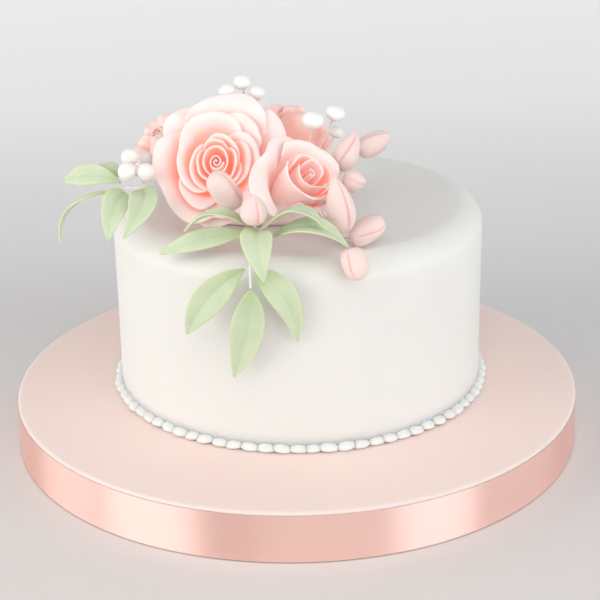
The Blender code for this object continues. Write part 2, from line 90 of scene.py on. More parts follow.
# Pearl border: a pearl's lengths run along the ring, away from the cake and towards it, its foot
# lies below its widest part and its crown above, all as shares of its radius.  The rest says how
# slim it is, how much it tapers along the ring and how far one may differ from the next.
PEARL_RADIUS = 1.55 * MM
PEARL_RING_RADIUS = 65.5 * MM
PEARL_LENGTHS = (2.3, 2.0, 0.5)
PEARL_FOOT = 0.45
PEARL_CROWN = 1.35
PEARL_SLIMNESS = 0.97
PEARL_TAPER = 0.07
PEARL_SHRINK = 0.12
PEARL_SHIFT = 0.008
PEARL_DRIFT = 0.2 * MM
PEARL_TILT = 0.16
PEARL_STRETCH = 0.06

# Posy
GAP = 0.3 * MM
MOUND_PLACE = (-10.0 * MM, -10.0 * MM)
MOUND_RADII = (23.0 * MM, 13.0 * MM, 10.0 * MM)
CALYX_RADIUS = 4.4 * MM
STEM_RADIUS = 0.6 * MM
WIRE_RADIUS = 0.3 * MM
SPRAY_WIRE_RADIUS = 0.35 * MM
WIRE_SPACING = 0.8 * MM
PETAL_THICKNESS = 0.42 * MM
PETAL_GRID = (24, 16)
LIP_START = 0.86
SCROLL_THICKNESS = 0.5 * MM
SCROLL_GRID = (64, 10)
# Share of painted bounce-light coral on a rose's scroll.
SCROLL_CORAL_SHARE = 0.55
FURL_GRID = (32, 16)
# Share of the same coral as a plain tint on the calyx and stems.
CALYX_CORAL_SHARE = 0.3
BUD_SEGMENTS = 48
BUD_RINGS = 28
# The bud wires take a little of the crease colour as their own tint, not as shade.
BUD_WIRE_CREASE = 0.15
LEAF_THICKNESS = 0.6 * MM
LEAF_GRID = (10, 28)

# Studio
PAPER_SIZE = 6.0
PAPER_BACK = 1.4
PAPER_CURVE_RADIUS = 0.5
PAPER_CURVE_STEPS = 12
PAPER_RISE = 2.5
PAPER_FLOOR_COLOUR = (0.735, 0.69, 0.672)
PAPER_WALL_COLOUR = (0.95, 0.945, 0.95)
LIGHT_AIM = Vector((0, 0, 0.05))
CAMERA_PLACE = (0.0, -0.5590, 0.2761)
CAMERA_AIM = Vector((0.0017, 0.0, 0.0484))
CAMERA_LEAN = -0.0167
CAMERA_LENS = 100.36

# A petal: turn is the angle of its middle and wrap half its spread in degrees, lip the radius of
# its top edge and height where that edge lies, flare 0 for upright to 1 for wide open.  lean is how
# much further out its last end is than its middle, curl how far the lip rolls over in degrees, roll
# the radius of that roll, ruffle the depth of the short waves and nicks of the lip, blush how much of
# the painted coral its inside takes, which stands for light bounced between the petals, peak how far
# its middle is drawn up, rounding how far its ends drop and belly how full its body is below the
# lip, 0 for close round the heart to 1 for a deep cup.  wander is how far the lip rises and falls in
# one long wave and phase where that wave starts, in degrees.
# All lengths are in millimetres.
Petal = namedtuple("Petal", "turn lip height wrap flare lean curl roll ruffle blush peak rounding"
                   " belly wander phase", defaults=(0.5, 110, 0.3, 0.08, 1.0, 0.0, 0.4, 0.0, 0.25, 0))


# ---------------------------------------------------------------- settings

def length_setting(name, description, default):
    return bpy.props.FloatProperty(name=name, description=description, subtype='DISTANCE',
                                   unit='LENGTH', default=default)


def colour_setting(name, description, default):
    return bpy.props.FloatVectorProperty(name=name, description=description, subtype='COLOR',
                                         size=3, min=0.0, max=1.0, default=default)


class CakeSizes(bpy.types.PropertyGroup):
    """Sizes of the cake, its board and its border."""

    cake_radius: length_setting("Cake radius", "Radius of the iced cake",
                                (CAKE_BOX[1].x - CAKE_BOX[0].x) / 2)
    cake_top: length_setting("Cake top", "Height of the top of the cake", CAKE_BOX[1].z)
    board_radius: length_setting("Board radius", "Radius of the iced board",
                                 (BOARD_BOX[1].x - BOARD_BOX[0].x) / 2)
    pearl_count: bpy.props.IntProperty(
        name="Pearls", description="Number of pearls piped round the foot", default=77, min=12)


class CakeColours(bpy.types.PropertyGroup):
    """Colours of the icing, ribbon and flower pastes."""

    white_icing: colour_setting("White icing", "Colour of the cake and pearls", (0.775, 0.775, 0.75))
    pink_icing: colour_setting("Pink icing", "Colour of the board icing", (0.905, 0.725, 0.672))
    ribbon: colour_setting("Ribbon", "Colour of the satin ribbon", (1.0, 0.405, 0.28))
    petal_rim: colour_setting("Petal rim", "Colour of the petals' edges", (0.965, 0.805, 0.78))
    # Petal heart is the colour of painted bounce light deep inside the roses.
    petal_heart: colour_setting("Petal heart", "Colour deep inside the roses", (1.0, 0.42, 0.35))
    # Painted shade: the two back roses take a darker, dustier copy of the petal colours for the shade
    # they sit in.
    shaded_back_rim: colour_setting("Back petal rim", "Edges of the two roses behind", (0.93, 0.69, 0.65))
    shaded_back_heart: colour_setting("Back petal heart", "Deep inside the two roses behind",
                               (0.92, 0.45, 0.37))
    bud: colour_setting("Buds", "Colour of the rosebuds", (0.825, 0.66, 0.625))
    leaf: colour_setting("Leaves", "Colour of the leaves", (0.555, 0.635, 0.455))
    berry: colour_setting("Berries", "Colour of the berries", (0.88, 0.87, 0.84))


# ---------------------------------------------------------------- making tools

def deselect_all():
    if bpy.context.object is not None and bpy.context.object.mode != 'OBJECT':
        bpy.ops.object.mode_set(mode='OBJECT')
    bpy.ops.object.select_all(action='DESELECT')


def pick(item):
    """Makes the item the only selected and the active object."""
    deselect_all()
    item.select_set(True)
    bpy.context.view_layer.objects.active = item


def apply_place(item):
    pick(item)
    bpy.ops.object.transform_apply(location=True, rotation=True, scale=True)


def put(item, matrix):
    """Moves the item by a matrix and settles that into its mesh."""
    item.matrix_world = matrix @ item.matrix_world
    apply_place(item)


def apply_modifiers(item):
    pick(item)
    for modifier in list(item.modifiers):
        bpy.ops.object.modifier_apply(modifier=modifier.name)


def thicken(item, thickness):
    solidify = item.modifiers.new("thickness", 'SOLIDIFY')
    solidify.thickness = thickness
    solidify.offset = 0.0
    solidify.use_even_offset = True


def smooth_out(item):
    soften = item.modifiers.new("smooth", 'SUBSURF')
    soften.levels = 1
    soften.render_levels = 1


def join_all(items):
    deselect_all()
    for item in items:
        item.select_set(True)
    bpy.context.view_layer.objects.active = items[0]
    bpy.ops.object.join()
    return items[0]


def finish_piece(item, name, material, slot, *nodes):
    """Names a finished piece, smooths it, gives it its material, hangs it under the root and hides the
    parts of the cake that it stands for.
    """
    pick(item)
    bpy.ops.object.shade_smooth()
    item.name = name
    item.data.name = name
    item.data.materials.clear()
    item.data.materials.append(material)
    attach(item, "root")
    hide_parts(*nodes)


def face_outwards(item):
    pick(item)
    bpy.ops.object.mode_set(mode='EDIT')
    bpy.ops.mesh.select_all(action='SELECT')
    bpy.ops.mesh.remove_doubles(threshold=0.000002)
    bpy.ops.mesh.normals_make_consistent(inside=False)
    bpy.ops.object.mode_set(mode='OBJECT')


def sheet(columns, rows):
    """A flat sheet to be shaped, whose x runs from -1 to 1 across and whose y from 0 to 1 up."""
    deselect_all()
    bpy.ops.mesh.primitive_grid_add(x_subdivisions=columns, y_subdivisions=rows, size=2.0)
    item = bpy.context.object
    for vertex in item.data.vertices:
        vertex.co.y = 0.5 + 0.5 * vertex.co.y
    return item


def new_ball(segments, rings, radius=1.0):
    """A round ball to be shaped."""
    deselect_all()
    bpy.ops.mesh.primitive_uv_sphere_add(segments=segments, ring_count=rings, radius=radius)
    return bpy.context.object


def mark(item, name, values):
    """Keeps one number for each vertex, for a material to read."""
    layer = item.data.attributes.new(name, 'FLOAT', 'POINT')
    layer.data.foreach_set("value", values)


def mark_evenly(item, name, value):
    mark(item, name, [value] * len(item.data.vertices))


def point(x, y, z):
    """A place in the posy, given in millimetres."""
    return Vector((x, y, z)) * MM


def bezier(amount, values):
    rest = 1.0 - amount
    weights = (rest ** 3, 3 * rest ** 2 * amount, 3 * rest * amount ** 2, amount ** 3)
    return sum(weight * value for weight, value in zip(weights, values))


def ease(low, high, value):
    """0 below low, 1 above high and smooth between."""
    share = min(1.0, max(0.0, (value - low) / (high - low)))
    return share * share * (3 - 2 * share)


def frame_at(origin, direction):
    """A matrix that puts local +Z along the direction, with local +Y as near up as it can be."""
    outward = direction.normalized()
    up = Vector((0, 0, 1)) - outward * outward.z
    if up.length < 0.05:
        up = Vector((0, 1, 0))
    up = (up - outward * up.dot(outward)).normalized()
    turn = Matrix((up.cross(outward), up, outward)).transposed().to_4x4()
    return Matrix.Translation(origin) @ turn


def mound_centre():
    return Vector((*MOUND_PLACE, bpy.context.scene.ribbon_cake_sizes.cake_top + GAP))


def on_mound(x, y):
    """A place just above the mound's surface, for the foot of a stem, from millimetres."""
    centre = mound_centre()
    across = (x * MM - centre.x) / MOUND_RADII[0]
    along = (y * MM - centre.y) / MOUND_RADII[1]
    rise = MOUND_RADII[2] * math.sqrt(1.0 - across ** 2 - along ** 2)
    return Vector((x * MM, y * MM, centre.z + rise + 2 * GAP))


def smooth_path(points, steps):
    """Points along a rounded curve through the given points."""
    path = []
    padded = [2 * points[0] - points[1]] + points + [2 * points[-1] - points[-2]]
    for before, start, end, after in zip(padded, padded[1:], padded[2:], padded[3:]):
        for step in range(steps):
            t = step / steps
            path.append(0.5 * (2 * start + (end - before) * t
                               + (2 * before - 5 * start + 4 * end - after) * t ** 2
                               + (3 * start - before - 3 * end + after) * t ** 3))
    path.append(points[-1])
    return path


def wire_along(points, radius, steps):
    """A paper-covered wire along a rounded path, made a closed mesh."""
    path = smooth_path(points, steps)
    curve = bpy.data.curves.new("wire", 'CURVE')
    curve.dimensions = '3D'
    curve.bevel_depth = radius
    curve.bevel_resolution = 2
    curve.use_fill_caps = True
    spline = curve.splines.new('POLY')
    spline.points.add(len(path) - 1)
    for knot, place in zip(spline.points, path):
        knot.co = (*place, 1.0)
    item = bpy.data.objects.new("wire", curve)
    bpy.context.scene.collection.objects.link(item)
    pick(item)
    bpy.ops.object.convert(target='MESH')
    face_outwards(bpy.context.object)
    return bpy.context.object


# ---------------------------------------------------------------- finishes

def blank_material(name):
    material = bpy.data.materials.new(name)
    material.use_nodes = True
    nodes = material.node_tree.nodes
    return material, nodes, material.node_tree.links, nodes["Principled BSDF"]


def tinted(colour, factor):
    return tuple(min(1.0, channel * factor) for channel in colour) + (1.0,)


def set_inputs(node, values):
    """Sets a node's inputs, given by name."""
    for name, value in values.items():
        node.inputs[name].default_value = value


def noise_node(nodes, links, scale, detail=4.0, roughness=0.55):
    place = nodes.new("ShaderNodeTexCoord")
    grain = nodes.new("ShaderNodeTexNoise")
    set_inputs(grain, {"Scale": scale, "Detail": detail, "Roughness": roughness})
    links.new(place.outputs["Object"], grain.inputs["Vector"])
    return grain


def ramp_node(nodes, links, source, stops):
    ramp = nodes.new("ShaderNodeValToRGB")
    elements = ramp.color_ramp.elements
    elements[0].position, elements[0].color = stops[0]
    elements[1].position, elements[1].color = stops[-1]
    for position, colour in stops[1:-1]:
        elements.new(position).color = colour
    links.new(source, ramp.inputs["Fac"])
    return ramp


def mix_node(nodes, links, factor, first, second, blend='MIX'):
    mix = nodes.new("ShaderNodeMix")
    mix.data_type = 'RGBA'
    mix.blend_type = blend
    for socket, value in ((mix.inputs[0], factor), (mix.inputs[6], first), (mix.inputs[7], second)):
        if isinstance(value, bpy.types.NodeSocket):
            links.new(value, socket)
        else:
            socket.default_value = value
    return mix.outputs[2]


def mark_node(nodes, name):
    """Reads the numbers that mark() keeps on a piece."""
    own = nodes.new("ShaderNodeAttribute")
    own.attribute_name = name
    return own.outputs["Fac"]


def two_tints(nodes, links, source, colour, low, high):
    """A colour that goes from one tint of itself to another."""
    ramp = ramp_node(nodes, links, source, ((0.3, tinted(colour, low)), (0.7, tinted(colour, high))))
    return ramp.outputs["Color"]


def clouded(nodes, links, scale, colour, low, high):
    """A colour in soft clouds of two tints."""
    cloud = noise_node(nodes, links, scale)
    return two_tints(nodes, links, cloud.outputs["Fac"], colour, low, high)


def vary_roughness(nodes, links, shader, source, least, most):
    reach = nodes.new("ShaderNodeMapRange")
    set_inputs(reach, {"To Min": least, "To Max": most})
    links.new(source, reach.inputs["Value"])
    links.new(reach.outputs["Result"], shader.inputs["Roughness"])


def bump_node(nodes, links, source, strength, distance):
    bump = nodes.new("ShaderNodeBump")
    set_inputs(bump, {"Strength": strength, "Distance": distance})
    links.new(source, bump.inputs["Height"])
    return bump


def rough_and_bump(nodes, links, shader, roughness, spread, scale, depth):
    """Roughness that varies a little, and two sizes of bump."""
    broad = noise_node(nodes, links, scale).outputs["Fac"]
    grain = noise_node(nodes, links, scale * 6.0, 5.0, 0.6).outputs["Fac"]
    vary_roughness(nodes, links, shader, broad, roughness - spread, roughness + spread)
    low = bump_node(nodes, links, broad, 0.35, depth)
    high = bump_node(nodes, links, grain, 0.25, depth * 0.4)
    links.new(low.outputs["Normal"], high.inputs["Normal"])
    links.new(high.outputs["Normal"], shader.inputs["Normal"])


def glow_through(shader, weight, reach, colour):
    """Light that soaks into the paste a little before it comes back."""
    set_inputs(shader, {"Subsurface Weight": weight, "Subsurface Scale": reach,
                        "Subsurface Radius": colour})


def rolled_icing(name, colour, scale=90.0, roughness=0.5, glow=0.15, reach=0.004,
                 tint=(1.0, 0.85, 0.7)):
    """Rolled sugarpaste: even, soft and faintly grained."""
    material, nodes, links, shader = blank_material(name)
    links.new(clouded(nodes, links, 14.0, colour, 0.975, 1.02), shader.inputs["Base Color"])
    rough_and_bump(nodes, links, shader, roughness, 0.06, scale, 0.00012)
    glow_through(shader, glow, reach, tint)
    return material


def silver_foil(name):
    material, nodes, links, shader = blank_material(name)
    crease = nodes.new("ShaderNodeTexVoronoi")
    crease.inputs["Scale"].default_value = 220.0
    place = nodes.new("ShaderNodeTexCoord")
    links.new(place.outputs["Object"], crease.inputs["Vector"])
    ramp = ramp_node(nodes, links, crease.outputs["Distance"],
                     ((0.0, (0.62, 0.62, 0.64, 1)), (0.6, (0.80, 0.80, 0.82, 1))))
    links.new(ramp.outputs["Color"], shader.inputs["Base Color"])
    shader.inputs["Metallic"].default_value = 0.9
    rough_and_bump(nodes, links, shader, 0.34, 0.08, 200.0, 0.0001)
    return material


def satin(name, colour):
    """Satin ribbon: fine threads along it, so its sheen spreads up and down but not along."""
    material, nodes, links, shader = blank_material(name)
    own = nodes.new("ShaderNodeUVMap")
    own.uv_map = "UVMap"
    stretch = nodes.new("ShaderNodeMapping")
    set_inputs(stretch, {"Scale": (40.0, 90.0, 1.0)})
    links.new(own.outputs["UV"], stretch.inputs["Vector"])
    threads = nodes.new("ShaderNodeTexNoise")
    set_inputs(threads, {"Scale": 3.0, "Detail": 3.0})
    links.new(stretch.outputs["Vector"], threads.inputs["Vector"])
    body = two_tints(nodes, links, threads.outputs["Fac"], colour, 0.96, 1.04)
    links.new(body, shader.inputs["Base Color"])
    bump = bump_node(nodes, links, threads.outputs["Fac"], 0.12, 0.00005)
    links.new(bump.outputs["Normal"], shader.inputs["Normal"])
    round_the_drum = nodes.new("ShaderNodeTangent")
    round_the_drum.direction_type = 'RADIAL'
    round_the_drum.axis = 'Z'
    links.new(round_the_drum.outputs["Tangent"], shader.inputs["Tangent"])
    vary_roughness(nodes, links, shader, threads.outputs["Fac"], 0.40, 0.44)
    set_inputs(shader, {"Anisotropic": 1.0, "Anisotropic Rotation": 0.25, "Metallic": 0.2, "IOR": 9.0})
    return material


def petal_paste(name, rim, heart, painted_glow_strength):
    """Flower paste, pale at the rim and coral deep inside, where the coral is painted light bounced
    between the petals.  A warm glow of its own is painted light too, standing for the light that
    comes through the thin petals."""
    material, nodes, links, shader = blank_material(name)
    cloud = noise_node(nodes, links, 160.0)
    sway = nodes.new("ShaderNodeMath")
    sway.operation = 'MULTIPLY_ADD'
    sway.inputs[1].default_value = 0.16
    links.new(cloud.outputs["Fac"], sway.inputs[0])
    links.new(mark_node(nodes, "blush"), sway.inputs[2])
    shift = nodes.new("ShaderNodeMath")
    shift.operation = 'SUBTRACT'
    shift.inputs[1].default_value = 0.08
    links.new(sway.outputs[0], shift.inputs[0])
    middle = tuple(0.68 * a + 0.32 * b for a, b in zip(rim, heart)) + (1.0,)
    # The ramp paints the coral of bounced light: the more coral share, the nearer the heart colour.
    ramp = ramp_node(nodes, links, shift.outputs[0],
                     ((0.0, tinted(rim, 1.0)), (0.2, tinted(rim, 0.985)), (0.55, middle),
                      (1.0, tinted(heart, 1.0))))
    links.new(ramp.outputs["Color"], shader.inputs["Base Color"])
    # Painted light: an emission glow, strongest deep inside, for the light that comes through the thin
    # petals.
    painted_glow = ramp_node(nodes, links, shift.outputs[0],
                       ((0.0, (0.03, 0.02, 0.02, 1.0)), (0.5, (0.25, 0.09, 0.07, 1.0)),
                        (1.0, (1.0, 0.24, 0.14, 1.0))))
    links.new(painted_glow.outputs["Color"], shader.inputs["Emission Color"])
    shader.inputs["Emission Strength"].default_value = painted_glow_strength
    rough_and_bump(nodes, links, shader, 0.6, 0.05, 260.0, 0.00006)
    glow_through(shader, 0.2, 0.0008, (1.0, 0.6, 0.5))
    return material


def bud_paste(name, colour):
    """Flower paste, with painted shade deeper in the creases between the furled petals."""
    material, nodes, links, shader = blank_material(name)
    body = clouded(nodes, links, 120.0, colour, 0.97, 1.05)
    # Painted shade: the crease colour, mixed in where the crease mark lies.
    shaded = mix_node(nodes, links, mark_node(nodes, "crease"), body, (0.82, 0.46, 0.46, 1.0))
    links.new(shaded, shader.inputs["Base Color"])
    rough_and_bump(nodes, links, shader, 0.58, 0.05, 240.0, 0.00006)
    glow_through(shader, 0.3, 0.0015, (1.0, 0.6, 0.5))
    return material


def leaf_paste(name, colour):
    """Matt pale green paste, yellower at the edges and deeper at the base."""
    material, nodes, links, shader = blank_material(name)
    body = clouded(nodes, links, 110.0, colour, 0.93, 1.07)
    lighter = (min(1, colour[0] * 1.22), min(1, colour[1] * 1.12), colour[2] * 1.02, 1.0)
    darker = (colour[0] * 0.72, colour[1] * 0.80, colour[2] * 0.55, 1.0)
    edged = mix_node(nodes, links, mark_node(nodes, "edge"), body, lighter)
    whole = mix_node(nodes, links, mark_node(nodes, "base"), edged, darker)
    links.new(whole, shader.inputs["Base Color"])
    rough_and_bump(nodes, links, shader, 0.62, 0.05, 300.0, 0.00008)
    glow_through(shader, 0.25, 0.002, (0.6, 1.0, 0.3))
    return material


def berry_paste(name, colour):
    """White berries with a soft pearl shine, and their blushing wires."""
    material, nodes, links, shader = blank_material(name)
    body = clouded(nodes, links, 200.0, colour, 0.97, 1.03)
    whole = mix_node(nodes, links, mark_node(nodes, "wire"), body, (0.90, 0.74, 0.70, 1.0))
    links.new(whole, shader.inputs["Base Color"])
    rough_and_bump(nodes, links, shader, 0.38, 0.06, 320.0, 0.00006)
    shader.inputs["Sheen Weight"].default_value = 0.1
    glow_through(shader, 0.25, 0.002, (1.0, 0.85, 0.75))
    return material


def paper_wire(name):
    material, nodes, links, shader = blank_material(name)
    cloud = noise_node(nodes, links, 500.0)
    ramp = ramp_node(nodes, links, cloud.outputs["Fac"],
                     ((0.3, (0.86, 0.87, 0.84, 1)), (0.7, (0.95, 0.95, 0.93, 1))))
    links.new(ramp.outputs["Color"], shader.inputs["Base Color"])
    rough_and_bump(nodes, links, shader, 0.7, 0.08, 900.0, 0.00005)
    return material


def paper_with_painted_light(name, floor, wall):
    """Pale studio paper, warm under the cake, with painted shade making it greyer behind the cake and
    painted light making it white again further back.
    """
    material, nodes, links, shader = blank_material(name)
    place = nodes.new("ShaderNodeTexCoord")
    split = nodes.new("ShaderNodeSeparateXYZ")
    links.new(place.outputs["Object"], split.inputs[0])
    reach = nodes.new("ShaderNodeMapRange")
    set_inputs(reach, {"From Min": -0.2, "From Max": 0.8})
    links.new(split.outputs["Y"], reach.inputs["Value"])
    # The ramp paints light and shade on one paper: a grey band behind the cake, brightening further
    # back.
    ramp = ramp_node(nodes, links, reach.outputs["Result"],
                     ((0.0, (*floor, 1.0)), (0.3, tinted(wall, 0.71)), (0.45, tinted(wall, 0.81)),
                      (0.65, tinted(wall, 0.98)), (1.0, (*wall, 1.0))))
    cloud = noise_node(nodes, links, 3.0)
    faint = mix_node(nodes, links, 0.03, ramp.outputs["Color"], cloud.outputs["Color"], 'OVERLAY')
    links.new(faint, shader.inputs["Base Color"])
    rough_and_bump(nodes, links, shader, 0.7, 0.05, 60.0, 0.0001)
    return material


# ---------------------------------------------------------------- cake and board

def grow_ring(centre, radius, height, radius_before, height_before):
    """Extrudes the selected ring of edges to a new radius and height."""
    bpy.ops.mesh.extrude_edges_move(
        TRANSFORM_OT_translate={"value": (0.0, 0.0, height - height_before)})
    share = radius / radius_before
    bpy.ops.transform.resize(value=(share, share, 1.0),
                             center_override=(centre.x, centre.y, height))


def turned_form(profile, sides, centre):
    """A round form built ring by ring from its foot up, closed below and above."""
    deselect_all()
    radius, height = profile[0]
    bpy.ops.mesh.primitive_circle_add(vertices=sides, radius=radius, fill_type='NGON',
                                      location=(centre.x, centre.y, height))
    item = bpy.context.object
    apply_place(item)
    bpy.ops.object.mode_set(mode='EDIT')
    bpy.ops.mesh.select_mode(type='EDGE')
    bpy.ops.mesh.select_all(action='SELECT')
    for new_radius, new_height in profile[1:]:
        grow_ring(centre, new_radius, new_height, radius, height)
        radius, height = new_radius, new_height
    bpy.ops.mesh.merge(type='CENTER')
    bpy.ops.object.mode_set(mode='OBJECT')
    face_outwards(item)
    return item


def shoulder_points(radius, top):
    """Soft shoulder of the cake, from the wall up and in to the flat top."""
    points = []
    for step in range(SHOULDER_STEPS, -1, -1):
        turn = 0.5 * math.pi * step / SHOULDER_STEPS
        out = math.sin(turn) ** (2.0 / SHOULDER_POWER)
        fall = 1.0 - math.cos(turn) ** (2.0 / SHOULDER_POWER)
        points.append((radius - SHOULDER_WIDTH * (1.0 - out), top - SHOULDER_DROP * fall))
    return points


def press_in(item, amount, scale):
    """Presses the surface in a little here and there, as hands do."""
    vertices = item.data.vertices
    normals = [vertex.normal.copy() for vertex in vertices]
    for vertex, normal in zip(vertices, normals):
        depth = amount * (0.5 * noise.noise(vertex.co * scale) - 0.5)
        vertex.co += normal * depth


class RIBBONCAKE_OT_drum(bpy.types.Operator):
    """Wrap the drum under the icing in silver foil"""

    bl_idname = "ribboncake.drum"
    bl_label = "Drum"

    def execute(self, context):
        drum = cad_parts["drum_board"]
        drum.data.materials.clear()
        drum.data.materials.append(silver_foil("silver_foil_board"))
        return {'FINISHED'}


class RIBBONCAKE_OT_board_icing(bpy.types.Operator):
    """Cover the board with pink icing that rolls over softly at its edge"""

    bl_idname = "ribboncake.board_icing"
    bl_label = "Board icing"

    def execute(self, context):
        sizes = context.scene.ribbon_cake_sizes
        bottom, top, radius = BOARD_BOX[0].z, BOARD_BOX[1].z, sizes.board_radius
        ribbon_top = RIBBON_BOX[1].z + 0.05 * MM
        profile = [(radius, bottom), (radius, ribbon_top)]
        for step in range(BOARD_EDGE_STEPS + 1):
            turn = 0.5 * math.pi * step / BOARD_EDGE_STEPS
            profile.append((radius + BOARD_EDGE_PROUD - BOARD_EDGE_ROUND * (1 - math.cos(turn)),
                            top - (top - ribbon_top) * (1 - math.sin(turn))))
        profile += [(radius * share, top) for share in (0.96, 0.9, 0.75, 0.5, 0.2)]
        item = turned_form(profile, BOARD_SIDES, Vector())
        press_in(item, BOARD_UNEVENNESS, 25.0)
        icing = rolled_icing("pink_icing", context.scene.ribbon_cake_colours.pink_icing, glow=0.5,
                             tint=(1.0, 0.5, 0.4))
        finish_piece(item, "iced_board", icing, "pink_icing", "board_icing")
        return {'FINISHED'}


class RIBBONCAKE_OT_ribbon(bpy.types.Operator):
    """Wind the satin ribbon once round the drum, its end over its start"""

    bl_idname = "ribboncake.ribbon"
    bl_label = "Satin ribbon"

    def execute(self, context):
        bottom, top = RIBBON_BOX[0].z, RIBBON_BOX[1].z
        item = sheet(*RIBBON_GRID)
        full = 2 * math.pi + RIBBON_LAP
        for vertex in item.data.vertices:
            wound = full * (0.5 + 0.5 * vertex.co.x)
            lapped = ease(2 * math.pi - 0.1, 2 * math.pi + 0.02, wound)
            radius = RIBBON_INNER + 0.5 * RIBBON_THICKNESS + RIBBON_LAP_RISE * lapped
            angle = RIBBON_LAP_START + wound
            height = bottom + (top - bottom) * vertex.co.y
            vertex.co = (radius * math.cos(angle), radius * math.sin(angle), height)
        thicken(item, RIBBON_THICKNESS)
        apply_modifiers(item)
        face_outwards(item)
        material = satin("satin_ribbon", context.scene.ribbon_cake_colours.ribbon)
        finish_piece(item, "satin_ribbon_band", material, "satin_ribbon", "ribbon")
        pick(item)
        bpy.ops.object.shade_smooth_by_angle(angle=math.radians(40))
        return {'FINISHED'}


class RIBBONCAKE_OT_cake(bpy.types.Operator):
    """Build the iced cake with its soft shoulder"""

    bl_idname = "ribboncake.cake"
    bl_label = "Iced cake"

    def execute(self, context):
        sizes = context.scene.ribbon_cake_sizes
        radius, top, bottom = sizes.cake_radius, sizes.cake_top, CAKE_BOX[0].z
        wall_top = top - SHOULDER_DROP
        profile = [(radius, bottom + (wall_top - bottom) * step / WALL_STEPS)
                   for step in range(WALL_STEPS)]
        profile += shoulder_points(radius, top)
        flat = radius - SHOULDER_WIDTH
        profile += [(flat * share, top) for share in (0.85, 0.65, 0.45, 0.25, 0.1)]
        item = turned_form(profile, CAKE_SIDES, CAKE_CENTRE)
        press_in(item, CAKE_UNEVENNESS, 30.0)
        icing = rolled_icing("white_icing", context.scene.ribbon_cake_colours.white_icing, glow=0.6,
                             reach=0.006, tint=(1.0, 0.75, 0.5))
        finish_piece(item, "iced_cake", icing, "white_icing", "cake")
        return {'FINISHED'}


class RIBBONCAKE_OT_pearls(bpy.types.Operator):
    """Pipe a string of pearls round the foot of the cake"""

    bl_idname = "ribboncake.pearls"
    bl_label = "Pearl border"

    def execute(self, context):
        count = context.scene.ribbon_cake_sizes.pearl_count
        draw = random.Random(SEED)
        height = BOARD_BOX[1].z + PEARL_FOOT * PEARL_RADIUS
        first = new_ball(16, 10, PEARL_RADIUS)
        for vertex in first.data.vertices:
            taper = PEARL_TAPER * (vertex.co.x / PEARL_RADIUS)
            vertex.co.x *= PEARL_LENGTHS[0]
            vertex.co.y *= PEARL_LENGTHS[1 if vertex.co.y < 0 else 2] * (1.0 - taper)
            vertex.co.z *= (PEARL_SLIMNESS - taper) * (PEARL_FOOT if vertex.co.z < 0 else PEARL_CROWN)
        pearls = []
        for number in range(count):
            pearl = first.copy()
            pearl.data = first.data.copy()
            context.scene.collection.objects.link(pearl)
            size = 1.0 - PEARL_SHRINK * draw.random()
            angle = 2 * math.pi * (number + 0.5) / count + PEARL_SHIFT * draw.uniform(-1, 1)
            radius = PEARL_RING_RADIUS + PEARL_DRIFT * draw.uniform(-1, 1)
            place = Vector((radius * math.cos(angle), radius * math.sin(angle), height))
            tilt = Matrix.Rotation(PEARL_TILT * draw.uniform(-1, 1), 4, 'Y')
            stretch = 1.0 + PEARL_STRETCH * draw.uniform(-1, 1)
            lift = Vector((0, 0, PEARL_FOOT * PEARL_RADIUS * (size - 1.0)))
            pearl.matrix_world = (Matrix.Translation(CAKE_CENTRE + place + lift)
                                  @ Matrix.Rotation(angle + 0.5 * math.pi, 4, 'Z') @ tilt
                                  @ Matrix.Diagonal((stretch, size, size, 1.0)))
            pearls.append(pearl)
        bpy.data.objects.remove(first, do_unlink=True)
        item = join_all(pearls)
        apply_place(item)
        colour = tinted(context.scene.ribbon_cake_colours.white_icing, 1.01)[:3]
        icing = rolled_icing("royal_icing", colour, scale=200.0, roughness=0.42, glow=0.5)
        finish_piece(item, "piped_pearls", icing, "white_icing", "pearl_border")
        return {'FINISHED'}


class RIBBONCAKE_OT_mound(bpy.types.Operator):
    """Press a mound of paste on the cake for the stems"""

    bl_idname = "ribboncake.mound"
    bl_label = "Paste mound"

    def execute(self, context):
        item = new_ball(48, 24)
        bpy.ops.object.mode_set(mode='EDIT')
        bpy.ops.mesh.select_all(action='SELECT')
        bpy.ops.mesh.bisect(plane_co=(0, 0, 0), plane_no=(0, 0, 1), use_fill=True, clear_inner=True)
        bpy.ops.object.mode_set(mode='OBJECT')
        for vertex in item.data.vertices:
            press = 0.5 + 0.5 * noise.noise(vertex.co * 2.4)
            dent = 1.0 - 0.06 * press * ease(0.0, 0.3, vertex.co.z)
            vertex.co = Vector(a * b for a, b in zip(vertex.co * dent, MOUND_RADII))
        put(item, Matrix.Translation(mound_centre()))
        face_outwards(item)
        paste = rolled_icing("posy_paste", context.scene.ribbon_cake_colours.petal_rim, scale=120.0)
        finish_piece(item, "paste_mound", paste, "posy_paste", "posy_paste")
        return {'FINISHED'}


# ---------------------------------------------------------------- roses

def petal_profile(petal, reach):
    """Radius and height of a petal's middle line, in metres, at a share of the way up it."""
    lip, height, flare, belly = petal.lip * MM, petal.height * MM, petal.flare, petal.belly
    root = 0.25 * CALYX_RADIUS + 0.14 * lip * belly
    close = (1.5 * MM + 0.2 * lip, 0.5 * MM + 0.5 * lip)
    cupped = (lip * (1.05 - 0.25 * flare), lip * (0.92 - 0.34 * flare))
    radii = (root, *((1 - belly) * a + belly * b for a, b in zip(close, cupped)), lip)
    heights = (0.6 * CALYX_RADIUS - 0.14 * lip, height * (0.25 - 0.15 * belly),
               height * (0.8 + 0.05 * belly + 0.2 * flare), height * (1.0 - 0.1 * flare))
    return bezier(reach, radii), bezier(reach, heights)


